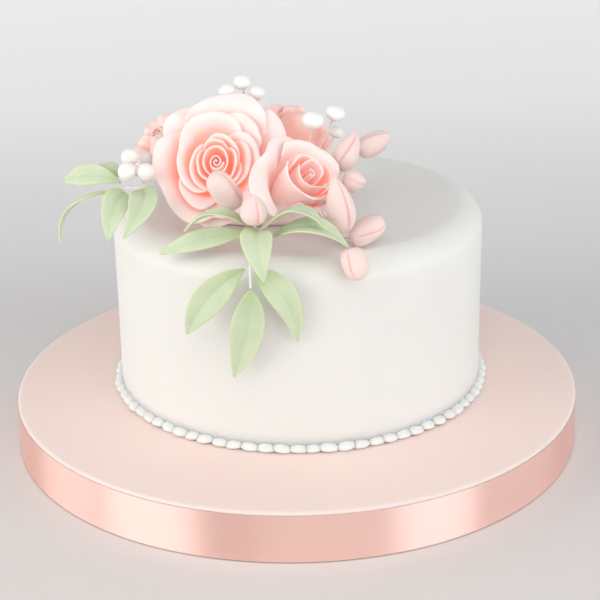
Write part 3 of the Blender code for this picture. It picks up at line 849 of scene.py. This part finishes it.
def petal_point(petal, across, up):
    """Place on a petal round local +Z, from across (-1 to 1) and up (0 at the root to 1)."""
    body = min(1.0, up / LIP_START)
    reach = body * (1.0 - petal.rounding * abs(across) ** 3)
    radius, height = petal_profile(petal, reach)
    before, below = petal_profile(petal, reach - 0.02)
    rise = Vector((radius - before, height - below)).normalized()
    outward = Vector((rise.y, -rise.x))
    ripple = math.sin(2.6 * math.pi * across + petal.turn)
    ripple += 0.5 * math.sin(5.3 * across * math.pi + petal.lip)
    offset = outward * (petal.ruffle * MM * ripple * body ** 4)
    nicks = 0.5 * math.sin(9.0 * across + petal.turn) + 0.35 * math.sin(15.0 * across + petal.lip)
    higher = petal.peak * math.exp(-(across / 0.35) ** 2)
    higher += petal.wander * math.sin(4.5 * across + math.radians(petal.phase))
    higher += petal.ruffle * nicks
    offset += rise * higher * MM * body ** 3
    if up > LIP_START:
        turned = math.radians(petal.curl) * (up - LIP_START) / (1.0 - LIP_START)
        roll = petal.roll * MM
        offset += roll * (math.sin(turned) * rise + (1.0 - math.cos(turned)) * outward)
    spread = math.radians(petal.wrap) * (0.4 + 0.6 * math.sin(0.5 * math.pi * min(1.0, 1.4 * body)))
    angle = math.radians(petal.turn) + across * spread
    radius += offset.x + petal.lean * MM * across * (0.3 + 0.7 * body)
    return Vector((radius * math.cos(angle), radius * math.sin(angle), height + offset.y))


def make_petal(petal, sag, oval):
    """A petal, which takes more of its heart's sag and oval the nearer it is to the heart."""
    inner = 1.0 - ease(15.0, 21.0, petal.lip)
    item = sheet(*PETAL_GRID)
    # The coral share is painted bounce light: strongest deep inside, fading at the lip and at the
    # hidden base.
    blush = []
    for vertex in item.data.vertices:
        across, up = vertex.co.x, vertex.co.y
        pale = ease(0.80 - 0.38 * petal.flare, 0.97 - 0.14 * petal.flare, up)
        deep = petal.blush * (0.4 + 0.6 * ease(0.0, 0.35, up))
        blush.append(deep * (1.0 - 0.85 * pale) * (1.0 - 0.15 * abs(across)))
        vertex.co = petal_point(petal, across, up)
        vertex.co.y *= 1.0 + oval * inner
        vertex.co += sag * inner
    mark(item, "blush", blush)
    thicken(item, PETAL_THICKNESS)
    return item


def make_scroll(radius, height, turns, sag, oval):
    """The rolled-up heart of a rose, a petal wound like a scroll."""
    item = sheet(*SCROLL_GRID)
    marks = []
    for vertex in item.data.vertices:
        wound = 0.5 + 0.5 * vertex.co.x
        up = vertex.co.y
        angle = 2 * math.pi * turns * wound + 0.6
        reach = radius * (0.12 + 0.88 * wound) * MM
        reach *= 0.55 + 0.45 * math.sin(math.pi * (0.15 + 0.62 * up))
        lift = height * MM * (0.3 + 0.7 * up) - 0.9 * MM * (1.0 - wound) * up
        # Painted bounce light on the scroll, paler at its top edge.
        marks.append(SCROLL_CORAL_SHARE * (1.0 - 0.8 * ease(0.8, 1.0, up)))
        vertex.co = Vector((reach * math.cos(angle), (1 + oval) * reach * math.sin(angle), lift)) + sag
    mark(item, "blush", marks)
    thicken(item, SCROLL_THICKNESS)
    return item


def make_furl(turn, radius, height, wrap, blush):
    """A petal furled shut over the heart, so that only its back shows."""
    item = sheet(*FURL_GRID)
    marks = []
    for vertex in item.data.vertices:
        across, up = vertex.co.x, vertex.co.y
        angle = math.radians(turn + wrap * across)
        reach = (radius + 0.5 * across) * math.sin(math.pi * (0.12 + 0.84 * up)) ** 0.75
        lift = height * (0.1 + 0.9 * up) * (1.0 - 0.12 * abs(across) ** 3)
        # Painted bounce light on the furl's back, paler along its edges.
        marks.append(blush * (1.0 - 0.85 * ease(0.9, 0.98, max(up, abs(across)))))
        vertex.co = Vector((reach * math.cos(angle), reach * math.sin(angle), lift)) * MM
    mark(item, "blush", marks)
    thicken(item, PETAL_THICKNESS)
    return item


def make_calyx(height):
    """The solid cone that the petals are stuck to, and the base under it."""
    item = new_ball(24, 16, CALYX_RADIUS)
    for vertex in item.data.vertices:
        share = vertex.co.z / CALYX_RADIUS
        if share > 0:
            vertex.co.z = share * (height * 0.8) * MM
            narrow = 1.0 - 0.62 * ease(0.0, 0.5, share)
            vertex.co.x *= narrow
            vertex.co.y *= narrow
    # A plain coral tint for the calyx, not painted light.
    mark_evenly(item, "blush", CALYX_CORAL_SHARE)
    return item


def make_rose(name, centre, direction, depth, petals, scroll, stem_end, material, sag=Vector(),
              oval=0.0, furls=()):
    """A rose that faces a direction.

    Its calyx lies depth behind its centre and scroll is (radius, height, turns) of its wound heart.
    Its heart lies sag off its middle and is taller than wide by oval, and the petals in furls are
    furled shut over it.
    """
    away = direction.normalized()
    base = centre - away * depth
    parts = [make_petal(petal, sag, oval) for petal in petals]
    parts.append(make_scroll(*scroll, sag, oval))
    parts += [make_furl(*furl) for furl in furls]
    for part in parts:
        apply_modifiers(part)
    parts.append(make_calyx(scroll[1]))
    flower = join_all(parts)
    put(flower, frame_at(base, direction))
    smooth_out(flower)
    apply_modifiers(flower)
    stem = wire_along([base - away * (0.5 * CALYX_RADIUS), 0.5 * (base + stem_end), stem_end],
                      STEM_RADIUS, 3)
    mark_evenly(stem, "blush", CALYX_CORAL_SHARE)
    flower = join_all([flower, stem])
    finish_piece(flower, name + "_petals", material, "rose_paste", name)


class RIBBONCAKE_OT_roses(bpy.types.Operator):
    """Make the four sugar roses"""

    bl_idname = "ribboncake.roses"
    bl_label = "Roses"

    def execute(self, context):
        colours = context.scene.ribbon_cake_colours
        # The last number is the strength of the painted glow.
        material = petal_paste("petal_paste", colours.petal_rim, colours.petal_heart, 0.42)
        # Painted shade: the back roses' darker copy of the paste, with a weaker painted glow.
        shaded = petal_paste("shaded_petal_paste", colours.shaded_back_rim, colours.shaded_back_heart, 0.2)
        outer = {"curl": 110, "roll": 0.35, "ruffle": 0.75, "blush": 0.5, "belly": 0.7}
        open_petals = [
            Petal(90, 4.0, 17.0, 172, 0.05, lean=0.3, rounding=0.15, belly=0.7),
            Petal(200, 6.2, 16.8, 80, 0.15, lean=-0.3, belly=0.6),
            Petal(350, 6.6, 16.8, 80, 0.15, lean=-0.4, belly=0.6),
            Petal(92, 6.2, 16.4, 60, 0.15, belly=0.6),
            Petal(190, 8.5, 16.4, 86, 0.35, lean=1.0, belly=0.5),
            Petal(62, 7.9, 16.4, 82, 0.3, lean=-0.2, belly=0.5),
            Petal(318, 8.2, 16.0, 60, 0.3, belly=0.5),
            Petal(198, 12.4, 15.8, 72, 0.55, lean=-3.2, blush=0.95, belly=0.4),
            Petal(355, 10.9, 15.8, 62, 0.5, lean=1.0, blush=0.95, belly=0.4),
            Petal(106, 15.6, 15.2, 74, 0.65, lean=0.6, blush=0.8, belly=0.4, ruffle=0.4),
            Petal(20, 14.0, 15.4, 56, 0.65, lean=-2.2, blush=0.9, belly=0.4),
            Petal(232, 14.2, 15.0, 48, 0.75, lean=-0.8, blush=0.9, belly=0.4),
            Petal(52, 17.2, 14.2, 42, 0.85, lean=-0.6, blush=0.75, belly=0.4, ruffle=0.4),
            Petal(288, 16.8, 13.6, 50, 0.85, lean=1.0, blush=0.8, belly=0.4),
            Petal(204, 22.4, 12.4, 68, 1.0, lean=2.0, rounding=0.25, wander=1.6, phase=250,
                  **{**outer, "ruffle": 0.55, "blush": 1.0}),
            Petal(84, 23.8, 12.8, 56, 1.0, lean=-1.2, wander=1.2, phase=193, **outer),
            Petal(130, 22.6, 11.2, 40, 1.0, wander=0.7, phase=30, **outer),
            Petal(34, 24.4, 10.6, 44, 1.0, wander=0.8, phase=40, **outer),
            Petal(272, 22.6, 10.2, 46, 1.0, wander=0.9, phase=200, **outer),
            Petal(330, 19.5, 11.2, 42, 1.0, wander=0.6, **outer),
        ]
        make_rose("rose_open", point(-25.0, -23.0, 108.8), Vector((-0.05, -0.79, 0.62)), 11 * MM,
                  open_petals, (2.9, 17.0, 1.9), on_mound(-18, -11), material, point(0, -2.4, 0), 0.2)

        half_open = [
            Petal(30, 3.8, 22.2, 100, 0.05, belly=1.0, blush=0.5),
            Petal(222, 5.8, 22.0, 95, 0.12, rounding=0.15, belly=1.0, blush=0.5, wander=1.0, phase=348),
            Petal(335, 7.6, 20.6, 66, 0.2, belly=1.0, blush=0.9),
            Petal(75, 6.6, 20.8, 74, 0.15, belly=1.0, blush=0.7),
            Petal(213, 8.9, 20.6, 78, 0.3, lean=-0.3, rounding=0.1, blush=0.45, belly=1.0, wander=1.4,
                  phase=348),
            Petal(320, 10.0, 20.4, 50, 0.45, blush=0.8, belly=1.0),
            Petal(132, 18.6, 17.2, 72, 0.95, lean=4.2, rounding=0.15, wander=2.4, phase=280,
                  **{**outer, "ruffle": 0.5, "blush": 0.15, "belly": 0.3}),
            Petal(40, 14.6, 19.6, 70, 0.85, lean=0.0, rounding=0.3, wander=0.8, phase=200,
                  **{**outer, "ruffle": 0.5, "blush": 0.3}),
            Petal(268, 11.8, 17.0, 50, 0.7, **outer),
            Petal(325, 12.4, 18.6, 44, 0.7, **outer),
        ]
        make_rose("rose_half_open", point(1.6, -35.0, 103.1), Vector((0.525, -0.525, 0.669)), 12 * MM,
                  half_open, (1.7, 21.2, 1.2), on_mound(-4, -17), material)

        left_ring = ((50, 10.0, 15), (105, 12.5, 15), (152, 15.0, 14), (196, 13.0, 14), (228, 12.5, 13),
                     (275, 12.0, 14), (338, 9.0, 14))
        left = [Petal(*ring, 36, 0.85, peak=1.0, **{**outer, "blush": 0.45}) for ring in left_ring]
        make_rose("rose_back_left", point(-41.5, -3.0, 106.5), Vector((-0.49, -0.41, 0.77)), 9 * MM,
                  left, (2.8, 19.4, 1.8), on_mound(-26, -6), shaded,
                  furls=((300, 7.6, 19.0, 118, 0.6), (120, 7.0, 19.5, 125, 0.6)))

        right_ring = ((112, 13.8, 15, 40, 0.75), (62, 12.0, 15, 50, 0.7), (185, 11.5, 12, 44, 0.7),
                      (330, 12.5, 15, 56, 0.5), (250, 11.5, 11, 44, 0.6))
        right = [Petal(*ring, 0.8, **{**outer, "blush": blush}) for *ring, blush in right_ring]
        make_rose("rose_back_right", point(0.5, -1.0, 108.0), Vector((0.37, -0.53, 0.77)), 9 * MM,
                  right, (2.4, 22.6, 1.8), on_mound(-4, -5), shaded,
                  furls=((290, 9.2, 22.5, 118, 0.75), (120, 8.4, 23.0, 125, 0.7)))
        return {'FINISHED'}


# ---------------------------------------------------------------- leaves, buds, berries and wires

def leaf_width(along, widest):
    """Half-width of a leaf, as a share of its greatest, which lies at widest along it."""
    along = min(along, 0.985)
    return max(0.06, math.sin(math.pi * along ** (math.log(0.5) / math.log(widest))) ** 0.8)


def make_leaf(name, base, middle, tip, facing, width, widest, material):
    """A thin wavy leaf along a curve through three points, folded a little at its midrib."""
    item = sheet(*LEAF_GRID)
    control = 2 * middle - 0.5 * (base + tip)
    draw = random.Random(name)
    phase = draw.uniform(0, 6.28)
    edge, dark = [], []
    for vertex in item.data.vertices:
        across, along = vertex.co.x, vertex.co.y
        centre = (1 - along) ** 2 * base + 2 * along * (1 - along) * control + along ** 2 * tip
        forward = ((1 - along) * (control - base) + along * (tip - control)).normalized()
        side = forward.cross(facing).normalized()
        normal = side.cross(forward)
        share = leaf_width(along, widest)
        fold = 0.12 * width * (abs(across) - 0.35 * math.exp(-(across / 0.16) ** 2))
        wave = 0.4 * MM * across * math.sin(2 * math.pi * along)
        ripple = 0.22 * MM * across ** 2 * math.sin(9 * along + phase + 2 * across)
        vertex.co = centre + (side * 0.5 * width * across + normal * (fold + wave + ripple)) * share
        edge.append(ease(0.6, 1.0, abs(across)) * 0.45)
        dark.append(0.7 * (1.0 - ease(0.0, 0.4, along)) + 0.18 * math.exp(-(across / 0.1) ** 2))
    mark(item, "edge", edge)
    mark(item, "base", dark)
    thicken(item, LEAF_THICKNESS)
    smooth_out(item)
    apply_modifiers(item)
    finish_piece(item, name + "_paste", material, "leaf_paste", name)


class RIBBONCAKE_OT_leaves(bpy.types.Operator):
    """Make the sprays of leaves at the front, over the rim and at the left"""

    bl_idname = "ribboncake.leaves"
    bl_label = "Leaves"

    def execute(self, context):
        level = Vector((0, 0.05, 1.0))
        sloping = Vector((0, -0.35, 0.94))
        forward = Vector((0, -0.85, 0.5))
        outward = Vector((0, -1, 0.1))
        sideways = Vector((-0.8, 0.1, 0.6))
        leaves = (
            ("leaf_front_1", (-14.5, -52, 95.3), (-25.5, -52, 99.9), (-35.4, -52, 93.9),
             level, 8, 0.45),
            ("leaf_front_2", (-15, -51, 92.6), (-29.5, -50, 90.6), (-44.2, -47, 84.6),
             forward, 7, 0.5),
            ("leaf_front_3", (-11.9, -54.5, 94.9), (-11.8, -62, 92.7), (-9.8, -68.5, 82.3),
             forward, 10.5, 0.4),
            ("leaf_front_4", (-9.5, -57, 96.5), (1.4, -59, 102.7), (9.6, -60, 96.9),
             level, 8, 0.5),
            ("leaf_front_5", (-7.5, -54.5, 92.0), (5.8, -57.5, 96.9), (17.2, -57.5, 89.7),
             sloping, 8, 0.45),
            ("leaf_drop_1", (-15.8, -62.5, 84.8), (-26.9, -63, 76.2), (-35.2, -62, 62.3),
             outward, 10.5, 0.52),
            ("leaf_drop_2", (-14.2, -63.5, 78.0), (-15.9, -64, 63.6), (-20.5, -62, 46.8),
             outward, 11, 0.45),
            ("leaf_drop_3", (-12.6, -62.5, 83.7), (-3.5, -63, 75.0), (0.6, -62, 58.9),
             outward, 9.5, 0.42),
            ("leaf_left_1", (-57, -30, 103.6), (-66.9, -27, 105.7), (-76.8, -24, 102.4),
             forward, 7.5, 0.55),
            ("leaf_left_2", (-58.2, -31.5, 101.2), (-73.0, -33, 97.0), (-77.9, -36, 85.0),
             sideways, 5, 0.5),
            ("leaf_left_3", (-55.8, -33, 101.5), (-58.9, -39.5, 98.0), (-61.0, -44, 88.0),
             forward, 9, 0.38),
            ("leaf_left_4", (-49.5, -33.5, 102.6), (-49.8, -41, 98.9), (-55.8, -46, 89.7),
             forward, 9.5, 0.36),
            ("leaf_left_5", (-58, -25, 104.2), (-62.3, -20, 106.0), (-66.9, -12, 104.0),
             sloping, 6, 0.5),
        )
        material = leaf_paste("leaf_paste", context.scene.ribbon_cake_colours.leaf)
        for name, base, middle, tip, facing, width, widest in leaves:
            make_leaf(name, point(*base), point(*middle), point(*tip), facing, width * MM, widest,
                      material)
        return {'FINISHED'}


def shape_bud(item, length, radius, seams, first, twist, blunt):
    """Turns a ball into a furled rosebud whose petals overlap at a few long creases."""
    crease = []
    columns = BUD_SEGMENTS // seams
    for vertex in item.data.vertices:
        ball = vertex.co.normalized()
        along = math.acos(max(-1.0, min(1.0, -ball.z))) / math.pi
        turn = math.atan2(ball.y, ball.x) % (2 * math.pi)
        column = round(turn / (2 * math.pi) * BUD_SEGMENTS) % BUD_SEGMENTS
        petal, place = divmod(column, columns)
        share = place / (columns - 1)
        pointed = math.sin(math.pi * along ** 0.72) ** 0.75 if 0 < along < 1 else 0.0
        rounded = (1.0 - abs(2.0 * along ** 0.85 - 1.0) ** 2.8) ** (1 / 2.8)
        swell = (1.0 - blunt) * pointed + blunt * rounded
        step = 0.14 * (0.5 - share) * ease(0.02, 0.3, along)
        angle = 2 * math.pi * (petal + 0.985 * share) / seams
        angle += math.radians(first) + math.radians(twist) * (along - 0.5)
        reach = radius * swell * (1.0 + step)
        vertex.co = (reach * math.cos(angle), reach * math.sin(angle), length * along)
        # The crease mark paints shade at the foot of each petal's edge, where the next petal laps over
        # it.
        near = max(0.0, 1.0 - 9.0 * (1.0 - share)) if share > 0.5 else 0.0
        crease.append(near * ease(0.05, 0.25, along) * (1.0 - ease(0.9, 1.0, along)))
    mark(item, "crease", crease)


def make_bud(name, base, tip, radius, seams, first, twist, blunt, stem_path, material):
    """A rosebud on its wire: seams is how many petals it is furled from, first where the first one
    starts and twist how far they wind round it, in degrees, and blunt 0 for pointed to 1 for round."""
    item = new_ball(BUD_SEGMENTS, BUD_RINGS)
    direction = tip - base
    shape_bud(item, direction.length, radius, seams, first, twist, blunt)
    put(item, frame_at(base, direction))
    stem = wire_along([base + direction * 0.2] + stem_path, WIRE_RADIUS, 5)
    mark_evenly(stem, "crease", BUD_WIRE_CREASE)
    item = join_all([item, stem])
    finish_piece(item, name + "_furled", material, "bud_paste", name)


class RIBBONCAKE_OT_buds(bpy.types.Operator):
    """Make the eight rosebuds on their wires"""

    bl_idname = "ribboncake.buds"
    bl_label = "Rosebuds"

    def execute(self, context):
        buds = (
            ("bud_1", (-18.8, -44, 99.6), (-25.7, -48, 111.9), 4.3, 2, 40, 30, 0.97,
             (-13, -40, 96), (-9, -20)),
            ("bud_2", (-12.8, -55, 97.1), (-12.5, -57, 107.9), 4.4, 2, 108, 10, 0,
             (-12.4, -53, 95.0), None),
            ("bud_3", (16.8, -49, 91.8), (13.1, -50, 111.2), 4.6, 3, 20, 20, 0,
             (15, -44, 88.2), (4, -15)),
            ("bud_4", (15.4, -24, 104.5), (21.7, -19, 117.2), 4.3, 3, 20, 40, 0,
             (12, -18, 98), (7, -11)),
            ("bud_5", (22.4, -8, 106.1), (33.4, -3, 110.8), 4.0, 3, 0, 40, 0.6,
             (15, -8, 97), (8, -8)),
            ("bud_6", (16.4, -33, 104.3), (24.1, -31, 102.8), 3.8, 2, 0, 60, 0,
             (14, -24, 95), (6, -13)),
            ("bud_7", (18.5, -46, 88.0), (29.5, -42, 93.2), 4.2, 3, 60, 50, 0.8,
             (12, -38, 86.4), (2, -17)),
            ("bud_8", (17.8, -58, 89.6), (20.7, -63, 80.5), 4.2, 3, 30, 20, 0.75,
             (18, -47, 85.9), (7.5, -16)),
        )
        material = bud_paste("bud_paste", context.scene.ribbon_cake_colours.bud)
        for name, base, tip, radius, seams, first, twist, blunt, bend, foot in buds:
            stem_path = [point(*bend)] + ([on_mound(*foot)] if foot else [])
            make_bud(name, point(*base), point(*tip), radius * MM, seams, first, twist, blunt,
                     stem_path, material)
        return {'FINISHED'}


def make_berry(name, centre, radius, tall, joint, material):
    """A hand-rolled berry on its wire."""
    draw = random.Random(name)
    item = new_ball(32, 20, radius)
    squash = Vector((1.0, 1.0, tall)) + 0.04 * Vector((draw.uniform(-1, 1), draw.uniform(-1, 1), 0))
    for vertex in item.data.vertices:
        ball = vertex.co.normalized()
        lump = 1.0 + 0.03 * noise.noise(ball * 1.3 + Vector((0, 0, len(name))))
        dimple = 1.0 - 0.10 * math.exp(-((1.0 + ball.z) / 0.06) ** 2)
        vertex.co = Vector(a * b for a, b in zip(vertex.co * lump * dimple, squash))
    mark_evenly(item, "wire", 0.0)
    put(item, frame_at(centre, centre - joint))
    bend = 0.5 * (centre + joint) + Vector((0, 0, 0.6 * MM))
    stem = wire_along([centre, bend, joint], WIRE_RADIUS, 5)
    mark_evenly(stem, "wire", 1.0)
    item = join_all([item, stem])
    finish_piece(item, name + "_ball", material, "berry_paste", name)


class RIBBONCAKE_OT_berries(bpy.types.Operator):
    """Make the three clusters of white berries"""

    bl_idname = "ribboncake.berries"
    bl_label = "Berries"

    def execute(self, context):
        clusters = (
            ("berry_left", point(-50, -26, 102), 0.94,
             (((-54.5, -22, 110.1), 3.1), ((-54.9, -30, 107.7), 3.2), ((-48.6, -30, 107.3), 3.1),
              ((-49.4, -17, 107.7), 2.5))),
            ("berry_top", on_mound(-13, -2), 0.9,
             (((-22.0, -5, 127.6), 2.8), ((-16.8, -3, 130.2), 2.9), ((-11.8, -5, 126.7), 2.8))),
            ("berry_right", on_mound(3, -13), 0.8,
             (((7.0, -19, 120.9), 3.7), ((14.6, -15, 122.1), 3.4), ((14.8, -11, 114.3), 2.6))),
        )
        material = berry_paste("berry_paste", context.scene.ribbon_cake_colours.berry)
        for cluster, joint, tall, berries in clusters:
            for number, (centre, radius) in enumerate(berries):
                foot = joint + WIRE_SPACING * number * Vector((1, 1, 0))
                make_berry(f"{cluster}_{number + 1}", point(*centre), radius * MM, tall, foot, material)
        return {'FINISHED'}


class RIBBONCAKE_OT_wires(bpy.types.Operator):
    """Run the papered wires that carry the leaf sprays"""

    bl_idname = "ribboncake.wires"
    bl_label = "Spray wires"

    def execute(self, context):
        wires = (
            ("wire_front", ((-9, -24, 87.6), (-11, -40, 90), (-12.5, -51, 93.5))),
            ("wire_drop", ((-12.8, -52.5, 91.8), (-13.6, -59, 89.0), (-14.2, -62.8, 85.0),
                           (-14.2, -63.4, 78.6))),
            ("wire_left", ((-27, -17, 91), (-42, -23, 98), (-50, -28, 101), (-55.5, -31, 102.2))),
        )
        material = paper_wire("paper_wire")
        for name, points in wires:
            item = wire_along([point(*place) for place in points], SPRAY_WIRE_RADIUS, 8)
            finish_piece(item, name + "_papered", material, "florist_wire", name)
        return {'FINISHED'}


# ---------------------------------------------------------------- studio

def add_softbox(name, azimuth, elevation, distance, width, height, power, colour=(1.0, 1.0, 1.0)):
    """A soft light round the cake: azimuth 0 is the front, and positive is to the right."""
    around, above = math.radians(azimuth), math.radians(elevation)
    away = Vector((math.sin(around) * math.cos(above), -math.cos(around) * math.cos(above),
                   math.sin(above)))
    deselect_all()
    bpy.ops.object.light_add(type='AREA', location=LIGHT_AIM + distance * away)
    lamp = bpy.context.object
    lamp.name = name
    lamp.rotation_euler = away.to_track_quat('Z', 'Y').to_euler()
    lamp.data.shape = 'RECTANGLE'
    lamp.data.size = width
    lamp.data.size_y = height
    lamp.data.energy = power
    lamp.data.color = colour


def hang_lights():
    add_softbox("left_softbox", -57, 18, 1.1, 0.75, 0.8, 5.4, (1.0, 0.985, 0.955))
    add_softbox("right_softbox", 51.5, 18, 1.1, 0.65, 0.8, 4.5, (0.95, 0.985, 1.0))
    add_softbox("left_fill", -95, 10, 1.1, 0.6, 0.8, 2.7, (1.0, 0.97, 0.93))
    add_softbox("right_fill", 92, 10, 1.1, 0.7, 0.8, 1.1, (0.95, 0.985, 1.0))
    add_softbox("top_softbox", 8, 52, 1.3, 0.9, 0.9, 4.9, (1.0, 0.96, 0.91))
    add_softbox("backdrop_light", 180, 42, 1.22, 3.0, 0.6, 2.2)
    bpy.context.object.rotation_euler = (0.0, 0.0, 0.0)
    bpy.context.object.data.spread = math.radians(90)


def roll_out_paper():
    """Lays pale paper flat under the cake and curves it up behind."""
    deselect_all()
    bpy.ops.mesh.primitive_plane_add(size=PAPER_SIZE, location=(0, 0, 0))
    paper = bpy.context.object
    paper.name = "studio_paper"
    for vertex in paper.data.vertices:
        if vertex.co.y > 0:
            vertex.co.y = PAPER_BACK
    bpy.ops.object.mode_set(mode='EDIT')
    bpy.ops.mesh.select_mode(type='EDGE')
    bpy.ops.mesh.select_all(action='DESELECT')
    bpy.ops.object.mode_set(mode='OBJECT')
    for edge in paper.data.edges:
        edge.select = all(paper.data.vertices[i].co.y > 0 for i in edge.vertices)
    bpy.ops.object.mode_set(mode='EDIT')
    before = Vector((0.0, 0.0))
    for step in range(1, PAPER_CURVE_STEPS + 1):
        turn = 0.5 * math.pi * step / PAPER_CURVE_STEPS
        here = Vector((math.sin(turn), 1.0 - math.cos(turn))) * PAPER_CURVE_RADIUS
        bpy.ops.mesh.extrude_edges_move(
            TRANSFORM_OT_translate={"value": (0.0, here.x - before.x, here.y - before.y)})
        before = here
    bpy.ops.mesh.extrude_edges_move(TRANSFORM_OT_translate={"value": (0.0, 0.0, PAPER_RISE)})
    bpy.ops.object.mode_set(mode='OBJECT')
    bpy.ops.object.shade_smooth()
    paper.data.materials.append(
        paper_with_painted_light("studio_paper", PAPER_FLOOR_COLOUR, PAPER_WALL_COLOUR))


def make_air(scene):
    """The light from all round, brightest near the floor and greyer overhead."""
    world = bpy.data.worlds.new("studio_air")
    world.use_nodes = True
    nodes, links = world.node_tree.nodes, world.node_tree.links
    direction = nodes.new("ShaderNodeTexCoord")
    split = nodes.new("ShaderNodeSeparateXYZ")
    links.new(direction.outputs["Generated"], split.inputs[0])
    sky = ramp_node(nodes, links, split.outputs["Z"],
                    ((0.0, (1.1, 1.1, 1.1, 1.0)), (0.35, (0.82, 0.83, 0.85, 1.0)),
                     (1.0, (0.55, 0.55, 0.57, 1.0))))
    links.new(sky.outputs["Color"], nodes["Background"].inputs["Color"])
    nodes["Background"].inputs["Strength"].default_value = 0.58
    scene.world = world


def aim_camera(scene):
    """Looks at the cake from in front and above, leaning over a touch."""
    deselect_all()
    bpy.ops.object.camera_add(location=CAMERA_PLACE)
    camera = bpy.context.object
    back = (camera.location - CAMERA_AIM).normalized()
    right = Vector((0, 0, 1)).cross(back).normalized()
    up = back.cross(right)
    tilted_right = math.cos(CAMERA_LEAN) * right + math.sin(CAMERA_LEAN) * up
    tilted_up = -math.sin(CAMERA_LEAN) * right + math.cos(CAMERA_LEAN) * up
    turn = Matrix((tilted_right, tilted_up, back)).transposed()
    camera.rotation_euler = turn.to_euler()
    camera.data.lens = CAMERA_LENS
    camera.data.sensor_width = 36.0
    scene.camera = camera
    scene.view_settings.view_transform = 'Standard'


class RIBBONCAKE_OT_studio(bpy.types.Operator):
    """Set up the pale floor and backdrop, the soft lights and the camera"""

    bl_idname = "ribboncake.studio"
    bl_label = "Studio"

    def execute(self, context):
        roll_out_paper()
        hang_lights()
        make_air(context.scene)
        aim_camera(context.scene)
        return {'FINISHED'}


class RIBBONCAKE_PT_panel(bpy.types.Panel):
    """Sizes, colours and makers of the ribbon cake"""

    bl_label = "Ribbon cake"
    bl_idname = "RIBBONCAKE_PT_panel"
    bl_space_type = 'VIEW_3D'
    bl_region_type = 'UI'
    bl_category = "Ribbon cake"

    def draw(self, context):
        column = self.layout.column()
        for group in (context.scene.ribbon_cake_sizes, context.scene.ribbon_cake_colours):
            for name in group.__annotations__:
                column.prop(group, name)
        for maker in OPERATORS:
            column.operator(maker.bl_idname)


OPERATORS = (
    RIBBONCAKE_OT_studio, RIBBONCAKE_OT_drum, RIBBONCAKE_OT_board_icing, RIBBONCAKE_OT_ribbon,
    RIBBONCAKE_OT_cake, RIBBONCAKE_OT_pearls, RIBBONCAKE_OT_mound, RIBBONCAKE_OT_roses,
    RIBBONCAKE_OT_leaves, RIBBONCAKE_OT_buds, RIBBONCAKE_OT_berries, RIBBONCAKE_OT_wires,
)
CLASSES = (CakeSizes, CakeColours) + OPERATORS + (RIBBONCAKE_PT_panel,)


def register():
    for item in CLASSES:
        bpy.utils.register_class(item)
    bpy.types.Scene.ribbon_cake_sizes = bpy.props.PointerProperty(type=CakeSizes)
    bpy.types.Scene.ribbon_cake_colours = bpy.props.PointerProperty(type=CakeColours)


def unregister():
    del bpy.types.Scene.ribbon_cake_colours
    del bpy.types.Scene.ribbon_cake_sizes
    for item in reversed(CLASSES):
        bpy.utils.unregister_class(item)


def main():
    register()
    deselect_all()
    bpy.ops.ribboncake.studio()
    bpy.ops.ribboncake.drum()
    bpy.ops.ribboncake.board_icing()
    bpy.ops.ribboncake.ribbon()
    bpy.ops.ribboncake.cake()
    bpy.ops.ribboncake.pearls()
    bpy.ops.ribboncake.mound()
    bpy.ops.ribboncake.roses()
    bpy.ops.ribboncake.leaves()
    bpy.ops.ribboncake.buds()
    bpy.ops.ribboncake.berries()
    bpy.ops.ribboncake.wires()


if __name__ == "__main__":
    main()
